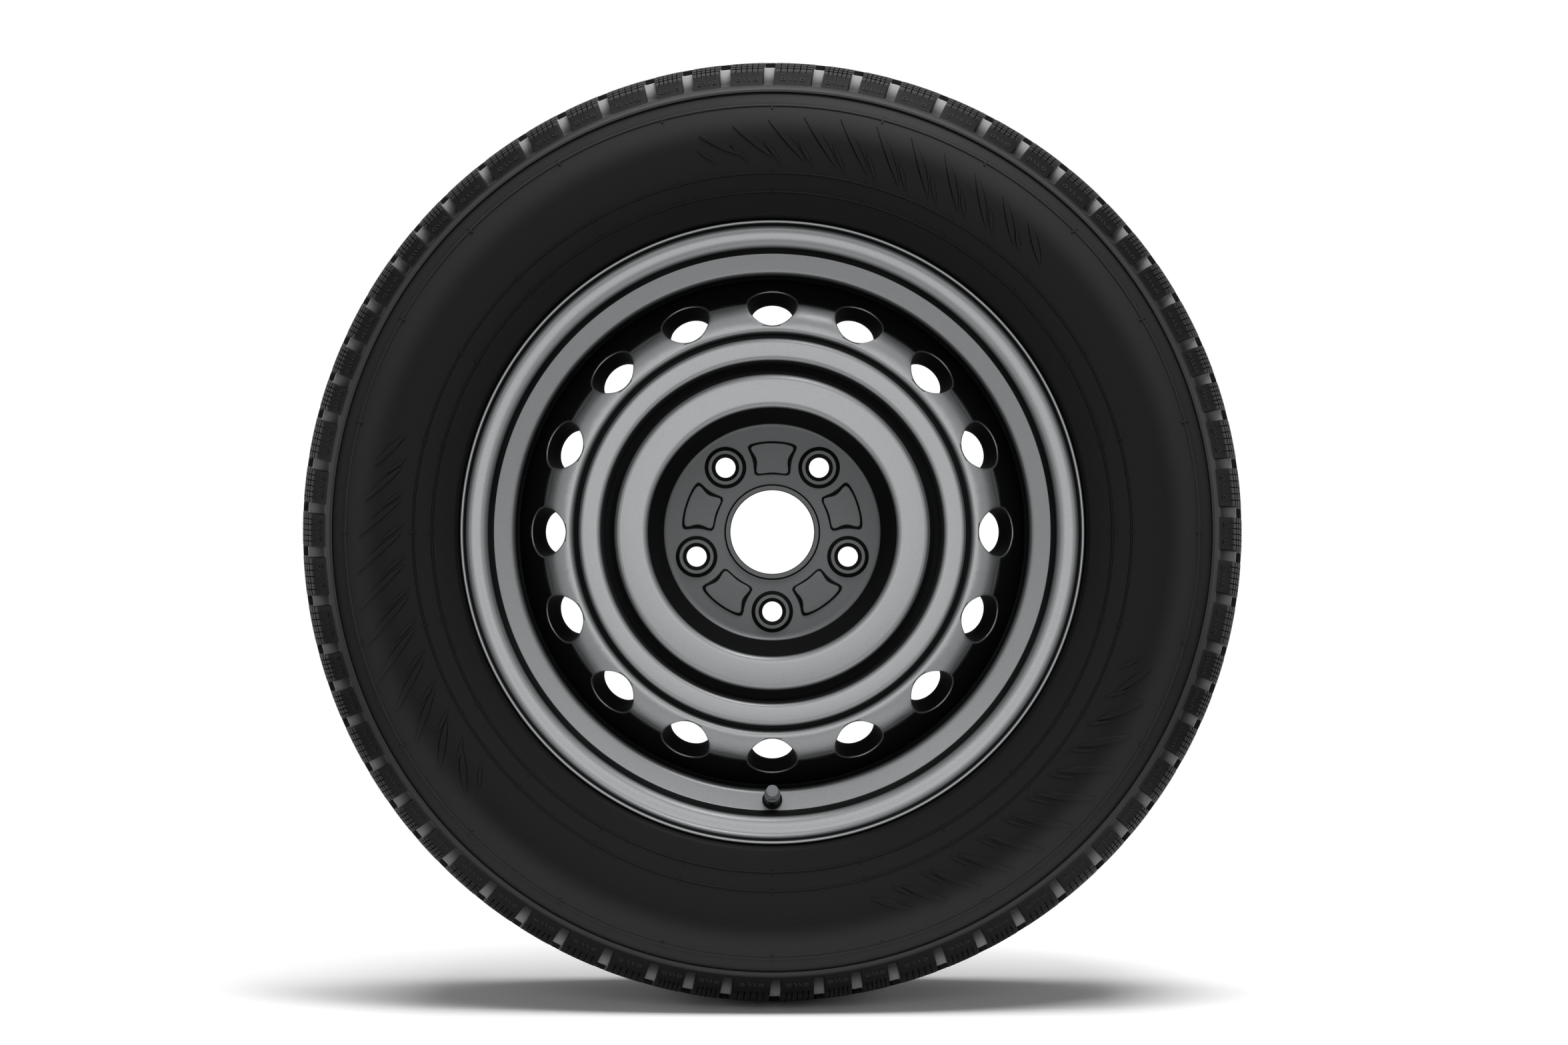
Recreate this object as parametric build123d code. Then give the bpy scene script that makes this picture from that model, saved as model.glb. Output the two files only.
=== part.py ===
from build123d import *
import math
import os

# A car wheel with its tyre and valve. All lengths are in millimetres, all angles in degrees.
# The wheel's axis is Y and its outer face looks towards -Y. The origin is on the axis, midway
# between the rim's flanges. Profiles are drawn with X as the radius and Y along the axis.

# Rim, a 16 x 6 1/2 J section in rolled sheet
BEAD_SEAT_RADIUS = 202.8
RIM_WIDTH = 165.1
FLANGE_HEIGHT = 17.3
FLANGE_LIP = 12.5
FLANGE_BEND = 9.5
HEEL_BEND = 6.5
RIM_SHEET = 2.6
SEAT_TAPER = 5.0
SEAT_LENGTH = 18.5
HUMP_LENGTH = 7.0
HUMP_HEIGHT = 1.3
HUMP_BEND = 4.0
WELL_RADIUS = 185.5
WELL_WALL_TILT = 18.0
WELL_LENGTH = 47.0
WELL_BEND = 5.2

# Wheel disc, one pressing
DISC_SHEET = 3.6
WHEEL_OFFSET = 45.0
BORE_RADIUS = 30.05
BORE_LIP_WIDTH = 4.0
BORE_LIP_HEIGHT = 2.0
HUB_EDGE_RADIUS = 77.0
HUB_EDGE_BEND = 5.0
NAVE_WALL_RUN = 12.5
NAVE_HEIGHT = 26.4
RING_A_WIDTH = 21.3
RING_A_FALL = 1.0
RING_A_BEND = 6.0
TROUGH_WIDTH = 12.8
TROUGH_DEPTH = 9.5
TROUGH_BEND = 3.0
RING_B_WIDTH = 13.0
RING_B_FALL = 1.2
RING_B_BEND = 4.8
GROOVE_WIDTH = 7.6
GROOVE_DEPTH = 5.2
GROOVE_BEND = 2.0
RING_C_WIDTH = 19.4
RING_C_FALL = 7.6
RING_C_BEND = 30.0
CREASE_BEND = 5.0
SKIRT_BEND = 12.0
SKIRT_START = 31.0
SKIRT_END = 12.0
SKIRT_GAP = 0.1

# Nut seats and embossed pads of the hub flat
BOLT_COUNT = 5
BOLT_CIRCLE = 114.3
BOLT_HOLE_RADIUS = 7.2
SEAT_RADIUS = 9.8
SEAT_HALF_ANGLE = 30.0
BOSS_TOP_RADIUS = 12.2
BOSS_BASE_RADIUS = 15.2
BOSS_HEIGHT = 2.6
PAD_INNER_RADIUS = 41.5
PAD_OUTER_RADIUS = 65.0
PAD_SEAT_MARGIN = 5.3
PAD_HEIGHT = 1.6
PAD_WALL = 2.0
PAD_CORNER = 3.0

# Vent holes with collars drawn inwards from the disc's outer bend
VENT_COUNT = 16
VENT_RADIUS = 17.6
VENT_TILT = 38.0
VENT_COLLAR_DEPTH = 21.0
VENT_COLLAR_END_RADIUS = 15.4
VENT_COLLAR_WALL = 2.4

# Arc welds between disc and rim
WELD_COUNT = 8
WELD_ARC = 24.0
WELD_LEG = 3.4

# Tyre, metric size 215/65 R16, moulded in one piece
TYRE_RADIUS = 340.0
SECTION_WIDTH = 220.0
WIDEST_RADIUS = 272.0
CROWN_ARC = 400.0
CROWN_HALF = 65.0
SHOULDER_ARC = 45.0
SHOULDER_SWEEP = 28.0
BUTTRESS_DROP = 9.0
BUTTRESS_RUN = 7.5
RIB_RADIUS = 309.5
RIB_INSET = 11.0
RIB_HEIGHT = 1.9
RIB_WIDTH = 1.8
FLANGE_EDGE_INSET = 12.0
FLANGE_EDGE_CLEARANCE = 2.4
BEAD_GAP = 0.2
TOE_LENGTH = 17.5
TOE_RISE = 12.0
CHAFER_WALL = 14.0
SIDEWALL = 8.5
UNDERTREAD = 9.0
LINER_BEND = 26.0
SIDEWALL_LINE_RADII = (299.5, 251.5, 238.5)
SIDEWALL_LINE_HEIGHT = 0.9

# Tread blocks: pitch lengths repeat in the order given, as shares of a mean pitch
GROOVE_FLOOR_DEPTH = 8.5
CENTRE_GROOVE_Y = 16.0
CENTRE_GROOVE_WIDTH = 7.0
OUTER_GROOVE_Y = 50.0
OUTER_GROOVE_WIDTH = 7.5
PITCH_SHARES = (1.12, 0.87, 0.87, 1.12, 1.12, 1.0, 1.0, 1.12, 0.87, 0.87, 1.0)
PITCH_REPEATS = 6
SLOT_TIE_HEIGHT = 1.5
SHOULDER_SLOT_WIDTH = 8.2
SHOULDER_SLOT_SKEW = 4.0
SHOULDER_SLOT_KNEE = 73.0
SHOULDER_SLOT_FALL = 3.0
MIDDLE_SLOT_WIDTH = 4.6
MIDDLE_SLOT_SKEW = 38.0
MIDDLE_SLOT_NOTCH = 4.0

# Snap-in valve, set square to the rim's well wall. Heights run along the valve from that wall.
VALVE_CLOCK = 180.0
VALVE_WALL_PLACE = 0.55
VALVE_HOLE_RADIUS = 5.75
VALVE_COIN_RADIUS = 7.6
VALVE_COIN_DEPTH = 0.3
BODY_FLANGE_RADIUS = 7.15
BODY_FLANGE_HEIGHT = 1.8
BODY_NECK_RADIUS = 5.5
BODY_TOP_RADIUS = 5.0
BODY_TOP = 15.6
BULB_RADIUS = 7.6
BULB_HEIGHT = 3.0
BULB_END_RADIUS = 6.0
BULB_LENGTH = 11.0
STEM_TOP = 26.0
STEM_THREAD_RADIUS = 3.85
STEM_SHANK_RADIUS = 3.3
STEM_BORE_RADIUS = 2.0
CORE_BORE_RADIUS = 2.65
CORE_SEAT_HEIGHT = 9.0
CORE_SEAT_TAPER = 1.6
CORE_PLUG_LENGTH = 9.0
CORE_PLUG_RECESS = 1.0
CORE_THREAD_GAP = 0.1
BARREL_RADIUS = 1.75
BARREL_BOTTOM = 4.0
BARREL_LIP = 0.6
SPRING_CHAMBER_RADIUS = 1.4
PIN_RADIUS = 0.55
PIN_GAP = 0.2
PIN_RECESS = 0.4
PIN_COLLAR_RADIUS = 1.15
PIN_COLLAR_HEIGHT = 0.6
PIN_COLLAR_FLOAT = 0.3
CUP_RADIUS = 1.45
CUP_HEIGHT = 1.6
CUP_SEAL_HEIGHT = 0.4
CUP_SEAL_GAP = 0.05
GASKET_HEIGHT = 2.2
SPRING_WIRE_RADIUS = 0.14
SPRING_TURNS = 9
CAP_GAP = 0.15
CAP_FOOT_GAP = 0.4
CAP_COLLAR_RADIUS = 5.75
CAP_COLLAR_HEIGHT = 2.0
CAP_GRIP_RADIUS = 5.5
CAP_GRIP_HEIGHT = 6.6
CAP_TOP_RADIUS = 4.35
CAP_ROOF = 1.2
CAP_SEAL_HEIGHT = 0.5
CAP_SEAL_GAP = 0.06
CAP_EDGE = 0.4

# Sizes that follow from the ones above
FLANGE_Y = RIM_WIDTH / 2
FLANGE_RADIUS = BEAD_SEAT_RADIUS + FLANGE_HEIGHT
SEAT_END_RADIUS = BEAD_SEAT_RADIUS - SEAT_LENGTH * math.tan(math.radians(SEAT_TAPER))
WELL_TOP_Y = FLANGE_Y - SEAT_LENGTH - HUMP_LENGTH
WELL_WALL_RUN = (SEAT_END_RADIUS - WELL_RADIUS) * math.tan(math.radians(WELL_WALL_TILT))
WELL_INNER_RADIUS = WELL_RADIUS - RIM_SHEET
SKIRT_RADIUS = WELL_INNER_RADIUS - SKIRT_GAP
HUB_FRONT = WHEEL_OFFSET + DISC_SHEET
GROOVE_FLOOR_RADIUS = TYRE_RADIUS - GROOVE_FLOOR_DEPTH
HALF_SECTION = SECTION_WIDTH / 2
BEAD_INNER_RADIUS = BEAD_SEAT_RADIUS + BEAD_GAP
FRONT_HUB_PLANE = Plane.XZ.offset(HUB_FRONT)
FULL_TURN = 360.0


def clock(angle):
    """Turns what is drawn on the +X side to a clock angle, seen from the front, from the top."""
    return Rot(Y=angle - 90.0)


def sheet_section(path, bends, thickness):
    """Section of a bent sheet. The path is its one face, and the sheet lies to the path's left."""
    steps = [Vector(*b) - Vector(*a) for a, b in zip(path, path[1:])]
    headings = [math.atan2(step.Y, step.X) for step in steps]
    normals = [Vector(-math.sin(h), math.cos(h)) for h in headings]
    far_path = [Vector(*path[0]) + normals[0] * thickness]
    far_bends = []
    for corner, bend, before, after in zip(path[1:-1], bends, range(len(steps)), range(1, len(steps))):
        turn = math.remainder(headings[after] - headings[before], math.tau)
        mitre = (normals[before] + normals[after]).normalized()
        far_path.append(Vector(*corner) + mitre * (thickness / math.cos(turn / 2)))
        far_bends.append(max(bend - math.copysign(thickness, turn), 0.2 * thickness))
    far_path.append(Vector(*path[-1]) + normals[-1] * thickness)
    near = FilletPolyline(*path, radius=bends)
    far = FilletPolyline(*far_path, radius=far_bends)
    return make_face(near + far + Line(near @ 0, far @ 0) + Line(near @ 1, far @ 1))


def rim_half_path(side):
    """Tyre side of one flange, bead seat and hump, from the lip inwards, with its bends."""
    path = [
        (FLANGE_RADIUS, side * (FLANGE_Y + FLANGE_LIP)),
        (FLANGE_RADIUS, side * FLANGE_Y),
        (BEAD_SEAT_RADIUS, side * FLANGE_Y),
        (SEAT_END_RADIUS, side * (FLANGE_Y - SEAT_LENGTH)),
        (SEAT_END_RADIUS + HUMP_HEIGHT, side * (FLANGE_Y - SEAT_LENGTH - HUMP_LENGTH / 2)),
        (SEAT_END_RADIUS, side * WELL_TOP_Y),
    ]
    bends = [FLANGE_BEND, HEEL_BEND, HUMP_BEND, HUMP_BEND, HUMP_BEND]
    return path, bends


def well_wall_frame():
    """Plane on the outer face of the well's front wall, at the valve, facing out of the wheel."""
    tilt = math.radians(WELL_WALL_TILT)
    normal = Vector(-math.sin(tilt), -math.cos(tilt))
    top = Vector(SEAT_END_RADIUS, -WELL_TOP_Y)
    foot = Vector(WELL_RADIUS, WELL_WALL_RUN - WELL_TOP_Y)
    place = top + (foot - top) * VALVE_WALL_PLACE + normal * RIM_SHEET
    on_right = Plane(origin=place, x_dir=(0, 0, 1), z_dir=normal)
    return clock(VALVE_CLOCK) * on_right.location


def make_rim():
    """Rolled rim: flanges, bead seats, humps and drop well in one sheet, with the valve hole."""
    front, front_bends = rim_half_path(-1)
    rear, rear_bends = rim_half_path(1)
    well_start = WELL_WALL_RUN - WELL_TOP_Y
    well = [(WELL_RADIUS, well_start), (WELL_RADIUS, well_start + WELL_LENGTH)]
    well_bends = [WELL_BEND, HUMP_BEND * 5]
    path = front + well + rear[::-1]
    bends = front_bends + well_bends + rear_bends[::-1]
    section = sheet_section(path, bends, RIM_SHEET)
    lip_ends = section.vertices().group_by(Axis.Y)
    section = fillet(lip_ends[0] + lip_ends[-1], RIM_SHEET * 0.4)
    rim = revolve(section, Axis.Y, FULL_TURN)
    base = (Align.CENTER, Align.CENTER, Align.MIN)
    hole = Pos(0, 0, -2 * RIM_SHEET) * Cylinder(VALVE_HOLE_RADIUS, 4 * RIM_SHEET, align=base)
    coin = Pos(0, 0, -VALVE_COIN_DEPTH) * Cylinder(VALVE_COIN_RADIUS, 3 * VALVE_COIN_DEPTH, align=base)
    return rim - well_wall_frame() * (hole + coin)


def disc_path():
    """Front face of the disc from the bore to the end of its skirt, with its bends."""
    widths = [NAVE_WALL_RUN, RING_A_WIDTH, TROUGH_WIDTH / 2, TROUGH_WIDTH / 2, RING_B_WIDTH,
              GROOVE_WIDTH / 2, GROOVE_WIDTH / 2, RING_C_WIDTH / 2, RING_C_WIDTH / 2]
    rises = [NAVE_HEIGHT, -RING_A_FALL, -TROUGH_DEPTH, TROUGH_DEPTH - RING_B_FALL, 0.0,
             -GROOVE_DEPTH, GROOVE_DEPTH - RING_B_FALL, -RING_C_FALL / 5, -RING_C_FALL * 4 / 5]
    bends = [HUB_EDGE_BEND, RING_A_BEND, RING_A_BEND, TROUGH_BEND, RING_B_BEND, RING_B_BEND,
             GROOVE_BEND, RING_B_BEND, RING_C_BEND, CREASE_BEND, SKIRT_BEND]
    path = [(BORE_RADIUS, -HUB_FRONT), (HUB_EDGE_RADIUS, -HUB_FRONT)]
    for width, rise in zip(widths, rises):
        radius, y = path[-1]
        path.append((radius + width, y - rise))
    path += [(SKIRT_RADIUS, -SKIRT_START), (SKIRT_RADIUS, -SKIRT_END)]
    return path, bends


def vent_frame():
    """Plane on the crest of the disc's outer bend, facing out along a vent hole's axis."""
    path, _ = disc_path()
    tilt = math.radians(VENT_TILT)
    return Plane(origin=path[-3], x_dir=(0, 0, 1), z_dir=(math.sin(tilt), -math.cos(tilt), 0))


def vent_collar_and_hole():
    """One drawn vent collar, trimmed to the disc's front face, and the hole through it."""
    path, bends = disc_path()
    front = FilletPolyline(*path, radius=bends)
    ahead = -2 * HUB_FRONT
    around = Polyline(front @ 0, (BORE_RADIUS, ahead), (2 * SKIRT_RADIUS, ahead),
                      (2 * SKIRT_RADIUS, -SKIRT_END), front @ 1)
    space_in_front = revolve(make_face(front + around), Axis.Y, FULL_TURN)
    draw = (VENT_RADIUS - VENT_COLLAR_END_RADIUS) / VENT_COLLAR_DEPTH
    top = VENT_RADIUS
    top_radius = VENT_RADIUS + draw * top
    length = VENT_COLLAR_DEPTH + top
    low = (Align.CENTER, Align.CENTER, Align.MIN)
    foot = vent_frame().location * Pos(0, 0, -VENT_COLLAR_DEPTH)
    collar = foot * Cone(VENT_COLLAR_END_RADIUS + VENT_COLLAR_WALL, top_radius + VENT_COLLAR_WALL,
                         length, align=low)
    hole = foot * Cone(VENT_COLLAR_END_RADIUS, top_radius, length, align=low)
    return collar - space_in_front, hole


def pad_sketch(inset):
    """Outline of the embossed pads between the nut seats, drawn in by an inset."""
    seats = PolarLocations(BOLT_CIRCLE / 2, BOLT_COUNT, start_angle=-90)
    keep_out = [seat * Circle(BOSS_BASE_RADIUS + PAD_SEAT_MARGIN + inset) for seat in seats]
    pads = Circle(PAD_OUTER_RADIUS - inset) - Circle(PAD_INNER_RADIUS + inset) - keep_out
    return fillet(pads.vertices(), PAD_CORNER - inset / 2)


def make_disc():
    """Pressed disc: hub flat with lip, pads and nut seats, rings, vents and welding skirt."""
    path, bends = disc_path()
    disc = revolve(sheet_section(path, bends, DISC_SHEET), Axis.Y, FULL_TURN)
    low = (Align.CENTER, Align.CENTER, Align.MIN)
    on_circle = PolarLocations(BOLT_CIRCLE / 2, BOLT_COUNT, start_angle=-90)

    lip_sketch = Circle(BORE_RADIUS + BORE_LIP_WIDTH) - Circle(BORE_RADIUS)
    lip = extrude(FRONT_HUB_PLANE * lip_sketch, BORE_LIP_HEIGHT)
    boss = Cone(BOSS_BASE_RADIUS, BOSS_TOP_RADIUS, BOSS_HEIGHT, align=low)
    bosses = [FRONT_HUB_PLANE.location * place * boss for place in on_circle]
    raised_pads = extrude(FRONT_HUB_PLANE * pad_sketch(0.0), PAD_HEIGHT)
    hollow_backs = extrude(Plane.XZ.offset(WHEEL_OFFSET - PAD_HEIGHT) * pad_sketch(PAD_WALL), 2 * PAD_HEIGHT)

    slope = math.tan(math.radians(SEAT_HALF_ANGLE))
    seat_depth = (SEAT_RADIUS - BOLT_HOLE_RADIUS) / slope
    hole = Cylinder(BOLT_HOLE_RADIUS, 4 * HUB_FRONT)
    seat = Cone(BOLT_HOLE_RADIUS, SEAT_RADIUS + slope * BOSS_HEIGHT, seat_depth + BOSS_HEIGHT, align=low)
    nut_hole = hole + Pos(0, 0, BOSS_HEIGHT - seat_depth) * seat
    nut_holes = [FRONT_HUB_PLANE.location * place * nut_hole for place in on_circle]

    collar, vent = vent_collar_and_hole()
    turns = [clock(FULL_TURN / VENT_COUNT * index) for index in range(VENT_COUNT)]
    disc = disc + [turn * collar for turn in turns]
    disc = disc - [turn * vent for turn in turns]
    disc = disc + [lip] + bosses + [raised_pads]
    return disc - nut_holes - [hollow_backs]


def make_weld_beads():
    """Fillet welds in the corner between the skirt's end and the rim's well."""
    corner = (WELL_INNER_RADIUS, -SKIRT_END)
    on_skirt = (WELL_INNER_RADIUS - WELD_LEG, -SKIRT_END)
    on_well = (WELL_INNER_RADIUS, WELD_LEG - SKIRT_END)
    crown = ThreePointArc(on_skirt, (corner[0] - WELD_LEG * 0.62, corner[1] + WELD_LEG * 0.62), on_well)
    bead = revolve(make_face(Polyline(on_well, corner, on_skirt) + crown), Axis.Y, WELD_ARC)
    pitch = FULL_TURN / WELD_COUNT
    return Compound(children=[clock(pitch * index) * bead for index in range(WELD_COUNT)])


def shoulder_edge():
    """Corner where the crown's shoulder arc ends and the blocks' side faces begin."""
    start = math.degrees(math.asin(CROWN_HALF / CROWN_ARC))
    lower = math.radians(start)
    upper = math.radians(start + SHOULDER_SWEEP)
    crown_edge = TYRE_RADIUS - CROWN_ARC * (1 - math.cos(lower))
    radius = crown_edge - SHOULDER_ARC * (math.cos(lower) - math.cos(upper))
    y = CROWN_HALF + SHOULDER_ARC * (math.sin(upper) - math.sin(lower))
    return radius, y


def sidewall_y(radius):
    """How far the bare sidewall stands from the middle plane at a radius."""
    if radius > WIDEST_RADIUS:
        rise, inset = RIB_RADIUS - WIDEST_RADIUS, RIB_INSET
    else:
        rise, inset = WIDEST_RADIUS - FLANGE_RADIUS, FLANGE_EDGE_INSET
    bow = (rise ** 2 + inset ** 2) / (2 * inset)
    return HALF_SECTION - bow + math.sqrt(bow ** 2 - (radius - WIDEST_RADIUS) ** 2)


def sidewall_arc(start, end):
    """Arc of the sidewall between two radii, on the front side."""
    middle = (start + end) / 2
    stations = [(radius, -sidewall_y(radius)) for radius in (start, middle, end)]
    return ThreePointArc(*stations)


def tyre_half_section():
    """Front half of the tyre's section, cut at the middle plane, with a bare sidewall."""
    start_angle = math.degrees(math.asin(CROWN_HALF / CROWN_ARC))
    crown = JernArc((TYRE_RADIUS, 0), (0, -1), CROWN_ARC, -start_angle)
    shoulder = JernArc(crown @ 1, crown % 1, SHOULDER_ARC, -SHOULDER_SWEEP)
    edge = shoulder @ 1
    block_foot = (edge.X - BUTTRESS_DROP, edge.Y - BUTTRESS_RUN)
    rib_y = -sidewall_y(RIB_RADIUS)
    rib = Polyline(edge, block_foot, (RIB_RADIUS + RIB_WIDTH, rib_y - RIB_HEIGHT),
                   (RIB_RADIUS, rib_y - RIB_HEIGHT), (RIB_RADIUS, rib_y))
    flange_edge = FLANGE_RADIUS + FLANGE_EDGE_CLEARANCE
    walls = sidewall_arc(RIB_RADIUS, WIDEST_RADIUS) + sidewall_arc(WIDEST_RADIUS, flange_edge)

    bead_y = -(FLANGE_Y - BEAD_GAP)
    over_flange = FLANGE_RADIUS + BEAD_GAP
    toe = (BEAD_INNER_RADIUS - TOE_LENGTH * math.tan(math.radians(SEAT_TAPER)), bead_y + TOE_LENGTH)
    bead = FilletPolyline((flange_edge, -sidewall_y(flange_edge)), (over_flange, bead_y - FLANGE_BEND),
                          (over_flange, bead_y), (BEAD_INNER_RADIUS, bead_y), toe,
                          radius=[0, FLANGE_BEND - BEAD_GAP, HEEL_BEND + BEAD_GAP])
    liner_crown = GROOVE_FLOOR_RADIUS - UNDERTREAD
    liner_side = SIDEWALL - HALF_SECTION
    chafer = (FLANGE_RADIUS + TOE_RISE, bead_y + CHAFER_WALL - BEAD_GAP)
    liner = FilletPolyline(toe, (BEAD_INNER_RADIUS + TOE_RISE, toe[1]), chafer,
                           (WIDEST_RADIUS, liner_side), (liner_crown - LINER_BEND / 2, liner_side + SIDEWALL),
                           (liner_crown, -CROWN_HALF), (liner_crown, 0),
                           radius=[LINER_BEND / 4, LINER_BEND / 2, LINER_BEND, LINER_BEND / 2, LINER_BEND])
    middle = Line(liner @ 1, crown @ 0)
    return make_face(crown + shoulder + rib + walls + bead + liner + middle)


def groove_angles():
    """Clock angles of the lateral grooves, unevenly pitched, with one groove at the bottom."""
    shares = PITCH_SHARES * PITCH_REPEATS
    angles = []
    passed = 0.0
    for share in shares:
        angles.append(180.0 + FULL_TURN * passed / sum(shares))
        passed += share
    return angles


def shoulder_slot(side):
    """Cutter for one lateral groove of the shoulder, which falls away down the block's side."""
    edge_radius, edge_y = shoulder_edge()
    inner = OUTER_GROOVE_Y - OUTER_GROOVE_WIDTH / 4
    outer = edge_y + 2 * BUTTRESS_RUN
    start = GROOVE_FLOOR_RADIUS + SLOT_TIE_HEIGHT
    foot = edge_radius - BUTTRESS_DROP + SLOT_TIE_HEIGHT
    above = TYRE_RADIUS + GROOVE_FLOOR_DEPTH
    outline = [(start, inner), (start - SHOULDER_SLOT_FALL, SHOULDER_SLOT_KNEE), (foot, edge_y),
               (foot, outer), (above, outer), (above, inner)]
    section = make_face(Polyline(*[(radius, side * y) for radius, y in outline], close=True))
    slot = extrude(section, SHOULDER_SLOT_WIDTH / 2, both=True)
    pivot = Pos(0, side * inner, 0)
    return pivot * Rot(X=side * SHOULDER_SLOT_SKEW) * pivot.inverse() * slot


def middle_slot(side):
    """Cutter for the slanted groove between the shoulder and the notched centre rib."""
    inner = CENTRE_GROOVE_Y - CENTRE_GROOVE_WIDTH / 2 - MIDDLE_SLOT_NOTCH
    span = (OUTER_GROOVE_Y - inner) / math.cos(math.radians(MIDDLE_SLOT_SKEW))
    size = (2 * GROOVE_FLOOR_DEPTH, span, MIDDLE_SLOT_WIDTH)
    align = (Align.MIN, Align.MIN if side < 0 else Align.MAX, Align.CENTER)
    slot = Rot(X=side * MIDDLE_SLOT_SKEW) * Box(*size, align=align)
    return Pos(GROOVE_FLOOR_RADIUS + SLOT_TIE_HEIGHT, side * OUTER_GROOVE_Y, 0) * slot


def make_tyre():
    """Moulded tyre: carcass, beads, sidewall lines and a block tread on both shoulders."""
    half = tyre_half_section()
    lines = [Pos(radius, -sidewall_y(radius)) * Circle(SIDEWALL_LINE_HEIGHT) for radius in SIDEWALL_LINE_RADII]
    half = half + lines
    section = half + mirror(half, Plane.XZ)
    deep = 2 * GROOVE_FLOOR_DEPTH
    on_floor = (Align.MIN, Align.CENTER)
    grooves = [Pos(GROOVE_FLOOR_RADIUS, side * y) * Rectangle(deep, width, align=on_floor)
               for y, width in ((CENTRE_GROOVE_Y, CENTRE_GROOVE_WIDTH), (OUTER_GROOVE_Y, OUTER_GROOVE_WIDTH))
               for side in (-1, 1)]
    tyre = revolve(section - grooves, Axis.Y, FULL_TURN)
    slots = [shoulder_slot(-1), shoulder_slot(1), middle_slot(-1), middle_slot(1)]
    return tyre - [clock(angle) * slot for angle in groove_angles() for slot in slots]


def turned(*outline):
    """Solid turned about the valve's axis from an outline of (radius, height) points."""
    section = make_face(Polyline(*[(radius, 0, height) for radius, height in outline], close=True))
    return revolve(section, Axis.Z, FULL_TURN)


def make_valve_body():
    """Rubber body: bulb behind the rim, neck in its hole, flange and tapered sleeve in front."""
    behind = -RIM_SHEET
    bulb_end = behind - BULB_LENGTH
    body = turned(
        (STEM_SHANK_RADIUS, bulb_end), (BULB_END_RADIUS, bulb_end), (BULB_RADIUS, behind - BULB_HEIGHT),
        (BULB_RADIUS, behind), (VALVE_HOLE_RADIUS, behind), (VALVE_HOLE_RADIUS, -VALVE_COIN_DEPTH),
        (BODY_FLANGE_RADIUS, -VALVE_COIN_DEPTH), (BODY_FLANGE_RADIUS, BODY_FLANGE_HEIGHT),
        (BODY_NECK_RADIUS, 2 * BODY_FLANGE_HEIGHT), (BODY_TOP_RADIUS, BODY_TOP), (STEM_SHANK_RADIUS, BODY_TOP),
    )
    rounded = body.edges().filter_by(GeomType.CIRCLE).group_by(SortBy.RADIUS)
    return fillet(rounded[-1], BODY_FLANGE_HEIGHT / 4)


def make_valve_stem():
    """Brass tube: shank in the rubber, thread for the cap, and the seat for the core."""
    bottom = -RIM_SHEET - BULB_LENGTH
    seat_top = CORE_SEAT_HEIGHT + CORE_SEAT_TAPER
    return turned(
        (STEM_BORE_RADIUS, bottom), (STEM_SHANK_RADIUS, bottom), (STEM_SHANK_RADIUS, BODY_TOP),
        (STEM_THREAD_RADIUS, BODY_TOP), (STEM_THREAD_RADIUS, STEM_TOP), (CORE_BORE_RADIUS, STEM_TOP),
        (CORE_BORE_RADIUS, seat_top), (STEM_BORE_RADIUS, CORE_SEAT_HEIGHT),
    )


def core_heights():
    """Heights of the core's plug foot, plug top and gasket foot."""
    plug_top = STEM_TOP - CORE_PLUG_RECESS
    gasket_foot = CORE_SEAT_HEIGHT + CORE_SEAT_TAPER
    return plug_top - CORE_PLUG_LENGTH, plug_top, gasket_foot


def make_valve_core_barrel():
    """Brass core: threaded plug above, thin barrel with the spring's chamber below."""
    plug_foot, plug_top, _ = core_heights()
    thread = CORE_BORE_RADIUS - CORE_THREAD_GAP
    passage = PIN_RADIUS + PIN_GAP
    lip_top = BARREL_BOTTOM + BARREL_LIP
    return turned(
        (passage, BARREL_BOTTOM), (BARREL_RADIUS, BARREL_BOTTOM), (BARREL_RADIUS, plug_foot),
        (thread, plug_foot), (thread, plug_top), (passage, plug_top), (passage, plug_foot),
        (SPRING_CHAMBER_RADIUS, plug_foot), (SPRING_CHAMBER_RADIUS, lip_top), (passage, lip_top),
    )


def make_valve_core_gasket():
    """Ring on the barrel that closes the gap to the stem, above the stem's seat."""
    _, _, foot = core_heights()
    outer = CORE_BORE_RADIUS - CORE_THREAD_GAP
    top = foot + GASKET_HEIGHT
    return turned((BARREL_RADIUS, foot), (outer, foot), (outer, top), (BARREL_RADIUS, top))


def pin_heights():
    """Heights of the pin's collar top, collar foot, cup top and cup foot."""
    plug_foot, _, _ = core_heights()
    collar_top = plug_foot - PIN_COLLAR_FLOAT
    cup_top = BARREL_BOTTOM - CUP_SEAL_GAP - CUP_SEAL_HEIGHT
    return collar_top, collar_top - PIN_COLLAR_HEIGHT, cup_top, cup_top - CUP_HEIGHT


def make_valve_core_pin():
    """Pin with the collar that the spring lifts and the cup that carries the seal."""
    collar_top, collar_foot, cup_top, cup_foot = pin_heights()
    _, plug_top, _ = core_heights()
    tip = plug_top - PIN_RECESS
    return turned(
        (0, cup_foot), (CUP_RADIUS, cup_foot), (CUP_RADIUS, cup_top), (PIN_RADIUS, cup_top),
        (PIN_RADIUS, collar_foot), (PIN_COLLAR_RADIUS, collar_foot), (PIN_COLLAR_RADIUS, collar_top),
        (PIN_RADIUS, collar_top), (PIN_RADIUS, tip), (0, tip),
    )


def make_valve_core_cup_seal():
    """Rubber washer on the cup, pressed up against the barrel's lip."""
    _, _, cup_top, _ = pin_heights()
    seal_top = cup_top + CUP_SEAL_HEIGHT
    return turned((PIN_RADIUS, cup_top), (CUP_RADIUS, cup_top), (CUP_RADIUS, seal_top), (PIN_RADIUS, seal_top))


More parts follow.
